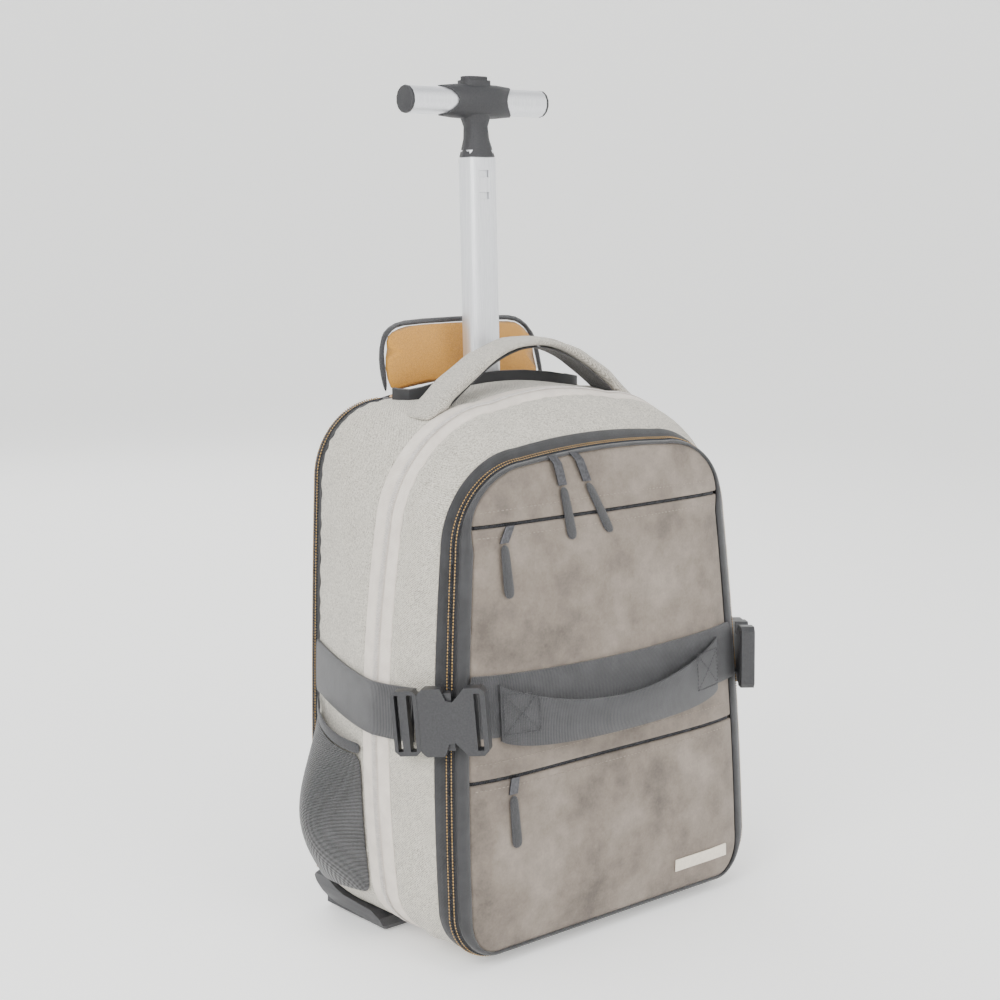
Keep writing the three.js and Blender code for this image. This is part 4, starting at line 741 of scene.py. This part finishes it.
front_tape = band_wall(
    "front_tape", front_band, 0, PIPING_SHARE, 24,
    lambda across: 0.0006 * np.exp(-((across - 0.22) / 0.2) ** 4), 0.0022, charcoal_tape,
)
front_piping = band_wall(
    "front_piping", front_band, PIPING_SHARE, 1, 18,
    lambda across: 0.0017 * np.sin(np.pi * np.clip(across, 0, 1)) ** 0.6 - 0.0002, 0.0016, piping_cloth,
)
for piece in (front_tape, front_piping):
    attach(piece, "bag")
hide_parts("front_zip")
chain_on("front_chain", front_band, CHAIN_SHARE)

rear_tape = band_wall("rear_tape", rear_band, 0, 1, 30, lambda across: 0 * across, 0.0025, charcoal_tape)
below_guards = prism(rectangle(-0.4, 0.4, REAR_DEPTH + zip_line - 0.002, 0.3), 2, -0.05, GUARD_HIGH + 0.002)
carve(rear_tape, below_guards, garage_room, *wheel_rooms)
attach(rear_tape, "bag")
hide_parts("rear_zip")


def clear_of_rooms(place):
    """True where a place on the rear zip is above the guards and beside the garage's flap."""
    beside_flap = (np.abs(place[:, 0]) > garage_half + 0.008) | (place[:, 2] < 0.3)
    return (place[:, 2] > GUARD_HIGH + 0.004) & beside_flap


chain_on("rear_chain", rear_band, 0.26, clear_of_rooms)


# The leather front.
# Three panels of grey-brown nubuck, mottled like suede, cover the front. They are slit twice for zipped
# pockets, with the edges turned in along the slits and lines of tone stitches beside them.
NUBUCK, NUBUCK_PALE, NUBUCK_DEEP = (0.178, 0.147, 0.120), (0.262, 0.224, 0.188), (0.098, 0.081, 0.067)
PANEL_CROWN, PANEL_WALL = 0.007, 0.0024
UPPER_SLIT, LOWER_SLIT, SLIT_HALF, EDGE_ROUND = 0.361, 0.156, 0.0015, 0.0016
STITCH_PITCH = 0.0042
rim_turn = np.linspace(0, 1, 2880, endpoint=False)
rim_line = skin(rim_turn, -FRONT_DEPTH, drawn_in(rim_turn, 1, SEAM_GAP))
rim_x, rim_z = rim_line[:, 0], rim_line[:, 2]
rim_angle = np.arctan2(rim_z - BAG_HEIGHT / 2, rim_x)
rim_radius = np.hypot(rim_x, rim_z - BAG_HEIGHT / 2)


def leather_depth(x, z):
    """The leather's depth: the leaning front plane, crowned by one minus the sixth power of the share of
    the way from its middle to its rim, and rolled back at the rim."""
    x, z = np.broadcast_arrays(np.asarray(x, float), np.asarray(z, float))
    angle = np.arctan2(z - BAG_HEIGHT / 2, x)
    share = np.hypot(x, z - BAG_HEIGHT / 2) / np.interp(angle, rim_angle, rim_radius, period=2 * np.pi)
    share = np.clip(share, 0, 1)
    roll = 0.0014 * np.clip((share - 0.982) / 0.018, 0, 1) ** 2
    plane = zip_line - FRONT_DEPTH - FRONT_REACH + lean_at(-FRONT_DEPTH, z)
    swell = 0.0007 * np.sin(31 * x + 2 * np.sin(23 * z)) * np.sin(27 * z + 1.5) * (1 - share**4)
    return plane - PANEL_CROWN * (1 - share**6) + roll + swell


def turned_in(distance):
    """How far an edge is rolled back at a distance from it: the fall of a quarter circle."""
    inside = np.clip(EDGE_ROUND - distance, 0, EDGE_ROUND)
    return EDGE_ROUND - np.sqrt(np.maximum(EDGE_ROUND**2 - inside**2, 0))


def nubuck_finish(name, pale, middle, deep):
    """Nubuck: broad cloudy patches over a fine nap, in three tones, with a soft low relief."""
    material, tree, shader = finish_nodes(name)
    place = tree.nodes.new("ShaderNodeTexCoord").outputs["Object"]
    cloud = speckle(tree, place, 17, 5, 0.62)
    patch = speckle(tree, place, 55, 4, 0.6)
    nap = speckle(tree, place, 520, 3)
    tone = sum_node(tree, "ADD", sum_node(tree, "MULTIPLY", cloud, 0.62),
                    sum_node(tree, "MULTIPLY", patch, 0.26))
    tone = sum_node(tree, "ADD", tone, sum_node(tree, "MULTIPLY", nap, 0.12))
    tree.links.new(graded(tree, tone, (0.36, deep), (0.5, middle), (0.66, pale)), shader.inputs["Base Color"])
    shader.inputs["Roughness"].default_value = 0.72
    shader.inputs["Specular IOR Level"].default_value = 0.35
    shader.inputs["Sheen Weight"].default_value = 0.12
    height = sum_node(tree, "ADD", sum_node(tree, "MULTIPLY", patch, 1.6), nap)
    relief(tree, shader, height, 0.0006, 0.45)
    return material


nubuck = nubuck_finish("grey_brown_nubuck", NUBUCK_PALE, NUBUCK, NUBUCK_DEEP)
fine_rows = np.concatenate([
    [0, 0.0015, 0.004, 0.0075], np.linspace(0.013, 0.987, 60), [0.9925, 0.996, 0.9985, 1],
])


def edge_turn(height, side):
    """The turn at which the rim passes a height, on the right (1) or the left (-1)."""
    chosen = (rim_turn > 0.12) & (rim_turn < 0.44) if side > 0 else (rim_turn > 0.56) & (rim_turn < 0.88)
    heights, turns = rim_z[chosen], rim_turn[chosen]
    order = np.argsort(heights)
    return np.interp(height, heights[order], turns[order])


def edge_x(height, side):
    """The rim's x at a height on one side."""
    return np.interp(edge_turn(height, side), rim_turn, rim_x)


def panel(name, grid_x, grid_z, distance, node):
    """A leather panel over a grid of x and z, its slit edges turned in by their distance."""
    depth = leather_depth(grid_x, grid_z) + turned_in(distance)
    outer = np.stack([grid_x, depth, grid_z], -1)
    inner = np.stack([grid_x, leather_depth(grid_x, grid_z) + PANEL_WALL, grid_z], -1)
    piece = cloth_wall(name, outer, inner, nubuck)
    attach(piece, "bag")
    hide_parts(node)


def fan_panel(name, slit, turn_from, turn_to, node):
    """A panel between a slit and the rim's arc between two turns: straight rows shared out between the
    points of the slit and those of the arc."""
    turns = np.linspace(turn_from, turn_to, 220)
    arc = skin(turns, -FRONT_DEPTH, drawn_in(turns, 1, SEAM_GAP))
    base = np.linspace(arc[0, 0], arc[-1, 0], len(turns))
    rows = fine_rows[None, :]
    grid_x = base[:, None] * (1 - rows) + arc[:, :1] * rows
    grid_z = slit * (1 - rows) + arc[:, 2:] * rows
    panel(name, grid_x, grid_z, np.abs(grid_z - slit), node)


yoke_foot, middle_top = UPPER_SLIT + SLIT_HALF, UPPER_SLIT - SLIT_HALF
middle_foot, lower_top = LOWER_SLIT + SLIT_HALF, LOWER_SLIT - SLIT_HALF
fan_panel("leather_yoke", yoke_foot, edge_turn(yoke_foot, -1), edge_turn(yoke_foot, 1), "front_yoke")
fan_panel(
    "leather_lower", lower_top, edge_turn(lower_top, -1), 1 + edge_turn(lower_top, 1), "front_lower_panel",
)
middle_z = (middle_foot + (middle_top - middle_foot) * fine_rows)[:, None]
middle_share = np.linspace(0, 1, 120)[None, :]
middle_x = edge_x(middle_z, -1) * (1 - middle_share) + edge_x(middle_z, 1) * middle_share
middle_z = middle_z + 0 * middle_x
slit_distance = np.minimum(middle_z - middle_foot, middle_top - middle_z)
panel("leather_middle", middle_x, middle_z, slit_distance, "front_middle_panel")


def front_frames(x, z, pitch, proud=0.0, depth_at=leather_depth):
    """Places a pitch apart along a line of x and z on the front: the point, the ways along and across
    the line, and the way out, from the depth's slopes."""
    x, z = np.broadcast_arrays(np.asarray(x, float), np.asarray(z, float))
    line = np.stack([x, depth_at(x, z), z], -1)
    length = np.concatenate([[0], np.cumsum(np.linalg.norm(np.diff(line, axis=0), axis=1))])
    at = (np.arange(max(int(length[-1] / pitch), 1)) + 0.5) * pitch
    px, pz = np.interp(at, length, x), np.interp(at, length, z)
    step = 5e-4
    out = unit(np.stack([
        (depth_at(px + step, pz) - depth_at(px - step, pz)) / (2 * step),
        -np.ones_like(px),
        (depth_at(px, pz + step) - depth_at(px, pz - step)) / (2 * step),
    ], -1))
    qx, qz = np.interp(at + step, length, x), np.interp(at + step, length, z)
    place = np.stack([px, depth_at(px, pz), pz], -1) + out * proud
    ahead = np.stack([qx, depth_at(qx, qz), qz], -1) + out * proud
    along = unit(ahead - place)
    across = unit(np.cross(out, along))
    return place, along, across, out


stitch_bead = round_bead(0.0029, 0.0009, 0.0007, sides=5, rings=4)
stitch_tone = grained_finish("tone_thread", (0.30, 0.255, 0.21), (0.17, 0.145, 0.12), 0.7, 900)
for number, (height, bow) in enumerate([
    (UPPER_SLIT + 0.0115, 0.0015), (UPPER_SLIT - 0.0085, -0.001),
    (LOWER_SLIT + 0.0145, 0.001), (LOWER_SLIT - 0.0065, -0.001),
]):
    line_x = np.linspace(edge_x(height, -1) + 0.004, edge_x(height, 1) - 0.004, 200)
    line_z = height + bow * np.sin(np.linspace(0, np.pi, 200))
    frames = front_frames(line_x, line_z, STITCH_PITCH)
    stitches = repeated(f"pocket_stitches_{number + 1}", stitch_bead, frames, stitch_tone)
    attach(stitches, "bag")


# The pocket zips.
# Behind each slit lies a black zip: a strip of tape against the leather's back, with a fine black coil
# that shows between the turned edges.
POCKET_TAPE_HALF, POCKET_TAPE_LIFT, POCKET_TAPE_WALL = 0.011, 0.0034, 0.0010
for name, slit in (("upper", UPPER_SLIT), ("lower", LOWER_SLIT)):
    tape_z = (slit + np.linspace(-POCKET_TAPE_HALF, POCKET_TAPE_HALF, 9))[:, None]
    tape_x = edge_x(tape_z, -1) * (1 - middle_share) + edge_x(tape_z, 1) * middle_share
    tape_z = tape_z + 0 * tape_x
    depth = leather_depth(tape_x, tape_z) + POCKET_TAPE_LIFT
    outer, inner = (np.stack([tape_x, depth + more, tape_z], -1) for more in (0, POCKET_TAPE_WALL))
    tape = cloth_wall(f"{name}_pocket_tape", outer, inner, charcoal_tape)
    line_x = np.linspace(edge_x(slit, -1) + 0.003, edge_x(slit, 1) - 0.003, 300)
    frames = front_frames(line_x, slit + 0 * line_x, 0.0016, -POCKET_TAPE_LIFT + 0.0012)
    coil = repeated(f"{name}_pocket_coil", round_bead(0.0009, 0.0036, 0.0013), frames, chain_black, turn=0.2)
    for piece in (tape, coil):
        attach(piece, "bag")
    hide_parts(f"{name}_pocket_zip")


# The compression strap.
# Broad black seat-belt webbing, glossy and finely ribbed, leaves the rear seam on each side, runs
# forward to a side-release buckle at the front's corner, and on across the leather.
WEBBING_BLACK, WEBBING_SHEEN = (0.011, 0.011, 0.013), (0.034, 0.034, 0.038)
STRAP_WIDTH, STRAP_FRONT_WIDTH, STRAP_WALL, STRAP_LIFT = 0.044, 0.050, 0.002, 0.0020
STRAP_REAR_Z, STRAP_FRONT_Z, STRAP_SAG, STRAP_FRONT_LIFT = 0.226, 0.211, 0.008, 0.0010
LOOP_BOW, LOOP_WAIST, LOOP_DROP, LOOP_INSET, LOOP_STAND = 0.012, 0.030, 0.020, 0.054, 0.0006


def half_width_at(depth, z):
    """Half the bag's width on its straight side: the outline's side line with its bulge."""
    s = section_at(depth)
    share = (z - s["low"] - s["low_r"]) / (s["high"] - s["crown"] - s["top_r"] - s["low"] - s["low_r"])
    rise = (z - s["low"]) / (s["high"] - s["low"])
    return s["low_half"] + (s["top_half"] - s["low_half"]) * share + s["bulge"] * (1 - (2 * rise - 1) ** 2)


def plan_path(z, out):
    """The skin's plan at one height, from the rear of the left side round the corner to the middle of
    the front, moved out by its normals: X and Y along it."""
    side_y = np.linspace(REAR_DEPTH - 0.002, -FRONT_DEPTH + FRONT_TAPE, 60)
    side_x = -half_width_at(side_y, z)
    angle = np.linspace(0, np.pi / 2, 12)
    width = half_width_at(-FRONT_DEPTH, z)
    turn_y = -FRONT_DEPTH + FRONT_REACH / 3 - (FRONT_REACH * 4 / 3) * np.sin(angle)
    turn_x = -width + FRONT_RIM * (1 - np.cos(angle)) ** 0.85
    face_x = -(width - FRONT_RIM) * np.linspace(0.97, 0, 60)
    x = np.concatenate([side_x, turn_x, face_x])
    lean = np.concatenate([lean_at(side_y, z), lean_at(-FRONT_DEPTH, z) + 0 * turn_y])
    y = np.concatenate([np.concatenate([side_y, turn_y]) + lean + zip_line, leather_depth(face_x, z)])
    run_x, run_y = np.gradient(x), np.gradient(y)
    length = np.hypot(run_x, run_y)
    return x + out * run_y / length, y - out * run_x / length


def along_plan(z, out, run):
    """Points on a plan path at the given lengths from its rear end."""
    x, y = plan_path(z, out)
    length = np.concatenate([[0], np.cumsum(np.hypot(np.diff(x), np.diff(y)))])
    return np.interp(run, length, x), np.interp(run, length, y)


def strap_grid(run, centre_z, width, out, columns=13):
    """A strap's face: rows along the plan path at the given lengths, columns up its width."""
    rows = []
    for share in np.linspace(-1, 1, columns):
        edge = 0.0007 * abs(share) ** 8
        level = float(np.mean(centre_z)) + share * width / 2
        x, y = along_plan(level, out - edge, run)
        rows.append(np.stack([x, y, centre_z + share * width / 2], -1))
    return np.stack(rows, 1)


# The webbing's lighter rib tone, WEBBING_SHEEN, is a painted sheen along its ribs, set into the black.
webbing = ribbed_finish("black_webbing", WEBBING_SHEEN, WEBBING_BLACK, 0.0016, 0.38, 0.0003, 0.2)
black_thread = grained_finish("black_thread", (0.05, 0.05, 0.055), (0.02, 0.02, 0.022), 0.5, 900)
MIRROR = np.array([-1.0, 1.0, 1.0])
latch_high, body_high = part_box("buckle_latch_left")[1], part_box("buckle_body_left")[1]
probe = np.linspace(0, 0.4, 2000)
probe_x, probe_y = along_plan(STRAP_FRONT_Z, STRAP_LIFT, probe)
side_run = np.interp(-(latch_high.y - 0.008), -probe_y[probe < 0.2], probe[probe < 0.2])
front_run = np.interp(body_high.x - 0.007, probe_x[probe > 0.17], probe[probe > 0.17])
plan_length = float(np.hypot(*np.diff(np.stack(plan_path(STRAP_FRONT_Z, 0)), axis=1)).sum())

run = np.linspace(0, side_run, 90)
depth_at_run = along_plan(STRAP_FRONT_Z, 0, run)[1] - zip_line
side_z = STRAP_FRONT_Z + (STRAP_REAR_Z - STRAP_FRONT_Z) * np.clip(depth_at_run / REAR_DEPTH, 0, 1) ** 1.5
side_outer = strap_grid(run, side_z, STRAP_WIDTH, STRAP_LIFT + STRAP_WALL)
side_inner = strap_grid(run, side_z, STRAP_WIDTH, STRAP_LIFT)
for name, flip in (("left", 1), ("right", MIRROR)):
    strap = cloth_wall(f"side_strap_{name}", side_outer * flip, side_inner * flip, webbing)
    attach(strap, "bag")
    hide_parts(f"strap_{name}")


def front_level(x):
    """The front strap's height: it rises from the middle to the corners."""
    return STRAP_FRONT_Z + 0.002 + STRAP_SAG * (x / (BAG_WIDTH / 2)) ** 2


def front_strap_grid(run, width, out):
    """A strap's face right across the front, from the left corner's lengths and their mirror image."""
    level = front_level(along_plan(STRAP_FRONT_Z, 0, run)[0])
    left = strap_grid(run, level, width, out)
    return np.concatenate([left, (left * MIRROR)[::-1][1:]])


run = np.linspace(front_run, plan_length, 90)
front_strap = cloth_wall(
    "front_strap", front_strap_grid(run, STRAP_FRONT_WIDTH, STRAP_FRONT_LIFT + STRAP_WALL),
    front_strap_grid(run, STRAP_FRONT_WIDTH, STRAP_FRONT_LIFT), webbing,
)
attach(front_strap, "bag")
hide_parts("strap_front")

loop_share = np.linspace(-1, 1, 121)[:, None]
loop_x = (BAG_WIDTH / 2 - LOOP_INSET) * loop_share
bow = np.maximum(1 - loop_share**2, 0) ** 0.7
loop_width = (STRAP_FRONT_WIDTH - 0.004) * (1 - bow**2) + LOOP_WAIST * bow**2
up = np.linspace(-1, 1, 13)[None, :]
loop_z = front_level(loop_x) - LOOP_DROP * (0.25 + 0.75 * bow) + up * loop_width / 2
loop_lift = STRAP_FRONT_LIFT + STRAP_WALL + LOOP_STAND + LOOP_BOW * bow
loop_curl = 0.0022 * bow * up**2
loop_across, loop_bed = loop_x + 0 * up, leather_depth(loop_x, loop_z)
loop_outer = np.stack([loop_across, loop_bed - loop_lift - STRAP_WALL + loop_curl, loop_z], -1)
loop_inner = np.stack([loop_across, loop_bed - loop_lift + loop_curl, loop_z], -1)
hand_loop = cloth_wall("hand_loop_webbing", loop_outer, loop_inner, webbing)
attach(hand_loop, "bag")
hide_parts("hand_loop")


def loop_surface(x, z):
    """The hand loop's outer face by x and z: the leather's depth less the loop's stand."""
    share = np.clip(x / (BAG_WIDTH / 2 - LOOP_INSET), -1, 1)
    bow = np.maximum(1 - share**2, 0) ** 0.7
    lift = STRAP_FRONT_LIFT + 2 * STRAP_WALL + LOOP_STAND + LOOP_BOW * bow
    return leather_depth(x, z) - lift


stitch_run = round_bead(0.0026, 0.0010, 0.0008, sides=5, rings=4)
box_half = 0.016
for name, side in (("left", -1), ("right", 1)):
    middle = side * (BAG_WIDTH / 2 - LOOP_INSET - box_half - 0.002)
    level = front_level(middle) - LOOP_DROP * 0.3
    corners = np.array([(-1, -1), (1, -1), (1, 1), (-1, 1), (-1, -1), (1, 1), (1, -1), (-1, 1)]) * box_half
    line = np.concatenate([np.linspace(a, b, 40, endpoint=False) for a, b in zip(corners[:-1], corners[1:])])
    line_x, line_z = middle + line[:, 0], level + line[:, 1]
    frames = front_frames(line_x, line_z, 0.0034, 0.0, loop_surface)
    stitches = repeated(f"loop_stitches_{name}", stitch_run, frames, black_thread)
    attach(stitches, "bag")


# The hard pieces.
# Buckles, guards, foot, wheels and grip are moulded in matt black plastic, and the tubes are drawn and
# anodised aluminium. Each keeps its construction's shape, with its edges broken and its rounds smooth.
PLASTIC_BLACK, PLASTIC_DEEP = (0.030, 0.030, 0.033), (0.016, 0.016, 0.018)
ALUMINIUM, ALUMINIUM_SHADE = (0.80, 0.81, 0.83), (0.66, 0.67, 0.70)
black_plastic = grained_finish("black_plastic", PLASTIC_BLACK, PLASTIC_DEEP, 0.42, 700)
soft_plastic = grained_finish("soft_plastic", (0.026, 0.026, 0.029), (0.014, 0.014, 0.016), 0.55, 900)
guard_plastic = grained_finish("guard_plastic", (0.040, 0.040, 0.044), (0.024, 0.024, 0.027), 0.5, 500)
tyre_rubber = grained_finish("tyre_rubber", (0.020, 0.020, 0.021), (0.010, 0.010, 0.011), 0.8, 400)


def drawn_finish(name, light, shade, roughness):
    """Drawn aluminium: fine streaks along the tube, from a noise stretched along Z."""
    material, tree, shader = finish_nodes(name)
    place = tree.nodes.new("ShaderNodeTexCoord").outputs["Object"]
    stretched = tree.nodes.new("ShaderNodeMapping")
    stretched.inputs["Scale"].default_value = (1, 1, 0.02)
    tree.links.new(place, stretched.inputs["Vector"])
    streak = speckle(tree, stretched.outputs["Vector"], 1400, 3)
    tree.links.new(graded(tree, streak, (0.3, shade), (0.7, light)), shader.inputs["Base Color"])
    shader.inputs["Metallic"].default_value = 0.75
    shader.inputs["Roughness"].default_value = roughness
    relief(tree, shader, streak, 0.00004, 0.4)
    return material


aluminium = drawn_finish("satin_aluminium", ALUMINIUM, ALUMINIUM_SHADE, 0.34)


def finished(node, name, finish, bevel, body="bag", segments=2, smooth=48):
    """A copy of a construction node with its doubles merged, its flat faces joined, its edges bevelled
    and its rounds shaded smooth, standing for the node."""
    mesh = frame["nodes"][node].data.copy()
    mesh.name = name
    mesh.materials.clear()
    mesh.materials.append(finish)
    for layer in list(mesh.uv_layers):
        mesh.uv_layers.remove(layer)
    shape = bmesh.new()
    shape.from_mesh(mesh)
    bmesh.ops.remove_doubles(shape, verts=shape.verts, dist=1e-5)
    bmesh.ops.dissolve_limit(shape, angle_limit=math.radians(1), verts=shape.verts, edges=shape.edges)
    shape.to_mesh(mesh)
    shape.free()
    mesh.polygons.foreach_set("use_smooth", [True] * len(mesh.polygons))
    mesh.set_sharp_from_angle(angle=math.radians(smooth))
    piece = bpy.data.objects.new(name, mesh)
    bpy.context.collection.objects.link(piece)
    if bevel:
        broken = piece.modifiers.new("edges", "BEVEL")
        broken.width, broken.segments, broken.limit_method = bevel, segments, "ANGLE"
        broken.angle_limit, broken.harden_normals = math.radians(32), True
    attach(piece, body)
    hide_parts(node)
    return piece


for side in ("left", "right"):
    finished(f"buckle_body_{side}", f"buckle_shell_{side}", black_plastic, 0.0011,
             segments=3)
    finished(f"buckle_latch_{side}", f"buckle_ladder_{side}", black_plastic, 0.0008,
             segments=3)
    finished(f"wheel_housing_{side}", f"wheel_guard_{side}", guard_plastic, 0.0012)
    finished(f"strap_adjuster_{side}", f"adjuster_{side}", black_plastic, 0.0006)
    finished(f"end_cap_{side}", f"grip_cap_{side}", soft_plastic, 0.0004, "grip")
    finished(f"tyre_{side}", f"wheel_tyre_{side}", tyre_rubber, 0.0008, f"wheel_{side}")
    finished(f"wheel_hub_{side}", f"wheel_centre_{side}", black_plastic, 0.0005,
             f"wheel_{side}")
finished("base_plate", "floor_plate", guard_plastic, 0.0010)
finished("front_foot", "front_skid", guard_plastic, 0.0015)
finished("handle_hub", "grip_hub", soft_plastic, 0.0005, "grip")
finished("release_button", "grip_button", soft_plastic, 0.0010, "button", segments=3)
finished("mast_tube", "outer_tube", aluminium, 0.0003, "mast")
finished("inner_tube", "sliding_tube", aluminium, 0.0003, "grip")
finished("grip_bar", "grip_tube", aluminium, 0.0003, "grip")
finished("handle_sleeve", "tube_sleeve", aluminium, 0.0003)
finished("garage_lip", "garage_rim", charcoal_tape, 0.0008)
pale_enamel = grained_finish("pale_plate", (0.76, 0.69, 0.58), (0.66, 0.6, 0.5), 0.4, 300)
finished("badge_plate", "blank_plate", pale_enamel, 0.0003)


# The soft trims.
# The grab handle is padded twill over webbing; the flap and garage are lined in mustard satin with a
# black zip; nets, bound in elastic, stand off the sides; the back and its straps are padded air mesh.
MUSTARD, MUSTARD_SHADE = (0.60, 0.29, 0.028), (0.40, 0.175, 0.015)


def woven_finish(name, light, shade, pitch, roughness, sheen=0.2, depth=0.0003):
    """Cloth woven in two directions: the product of waves of X + Y and of Z, over a fine noise, in the
    object's own coordinates."""
    material, tree, shader = finish_nodes(name)
    parts = tree.nodes.new("ShaderNodeSeparateXYZ")
    place = tree.nodes.new("ShaderNodeTexCoord").outputs["Object"]
    tree.links.new(place, parts.inputs[0])
    level = sum_node(tree, "ADD", parts.outputs[0], parts.outputs[1])
    across = sum_node(tree, "SINE", sum_node(tree, "MULTIPLY", level, 2 * math.pi / pitch))
    diagonal = sum_node(tree, "ADD", level, parts.outputs[2])
    up = sum_node(tree, "SINE", sum_node(tree, "MULTIPLY", diagonal, 2 * math.pi / pitch))
    weave = sum_node(tree, "ADD", sum_node(tree, "MULTIPLY", across, 0.4), up)
    tone = sum_node(tree, "ADD", sum_node(tree, "MULTIPLY", weave, 0.13), speckle(tree, place, 850, 3))
    tree.links.new(graded(tree, tone, (0.3, shade), (0.7, light)), shader.inputs["Base Color"])
    shader.inputs["Roughness"].default_value = roughness
    shader.inputs["Sheen Weight"].default_value = sheen
    relief(tree, shader, weave, depth, 0.6)
    return material


def softened(node, name, finish, levels=2):
    """A copy of a construction node as cloth: its doubles merged, its triangles paired into quads, and
    its surface subdivided, standing for the node."""
    piece = finished(node, name, finish, 0, smooth=80)
    shape = bmesh.new()
    shape.from_mesh(frame["nodes"][node].data)
    bmesh.ops.remove_doubles(shape, verts=shape.verts, dist=1e-5)
    bmesh.ops.join_triangles(shape, faces=shape.faces, angle_face_threshold=0.6, angle_shape_threshold=3.1)
    shape.to_mesh(piece.data)
    shape.free()
    piece.data.polygons.foreach_set("material_index", [0] * len(piece.data.polygons))
    piece.data.polygons.foreach_set("use_smooth", [True] * len(piece.data.polygons))
    smooth = piece.modifiers.new("soft_form", "SUBSURF")
    smooth.levels = smooth.render_levels = levels
    return piece


handle_twill = woven_finish("handle_twill", TWILL_PALE, (0.20, 0.185, 0.16), 0.0019, 0.9)
mustard_satin = woven_finish("mustard_satin", MUSTARD, MUSTARD_SHADE, 0.0009, 0.5, 0.3, 0.0001)
black_cloth = woven_finish("black_cloth", (0.034, 0.034, 0.038), (0.012, 0.012, 0.014), 0.0014, 0.55)
air_mesh = woven_finish("air_mesh", (0.040, 0.040, 0.043), (0.010, 0.010, 0.011), 0.0034, 0.85, 0.2, 0.0008)
net_weave = woven_finish("net_weave", (0.055, 0.055, 0.058), (0.012, 0.012, 0.012), 0.0030, 0.5, 0.2, 0.0010)
gunmetal = grained_finish("gunmetal", (0.11, 0.11, 0.12), (0.06, 0.06, 0.065), 0.32, 500, 0.8)
softened("grab_handle", "handle_pad", handle_twill)
softened("back_panel", "back_padding", air_mesh, 1)
softened("grab_webbing", "handle_webbing", black_cloth)
softened("handle_flap", "flap_lining", mustard_satin, 1)
softened("flap_zip", "flap_edge", black_cloth, 1)
finished("garage_pocket", "garage_lining", mustard_satin, 0)
for side in ("left", "right"):
    softened(f"shoulder_strap_{side}", f"shoulder_pad_{side}", air_mesh)
    softened(f"strap_webbing_{side}", f"shoulder_webbing_{side}", black_cloth, 1)
    softened(f"mesh_pocket_{side}", f"side_net_{side}", net_weave)
    softened(f"pocket_binding_{side}", f"net_binding_{side}", black_cloth)
for pull in ("front_zip_pull_1", "front_zip_pull_2", "upper_zip_pull", "lower_zip_pull"):
    finished(pull, f"{pull}_tab", gunmetal, 0.0005)
    softened(f"{pull}_loop", f"{pull}_tape", black_cloth)


for leftover in [o for o in bpy.data.objects if o.name.startswith("room")]:
    bpy.data.objects.remove(leftover)
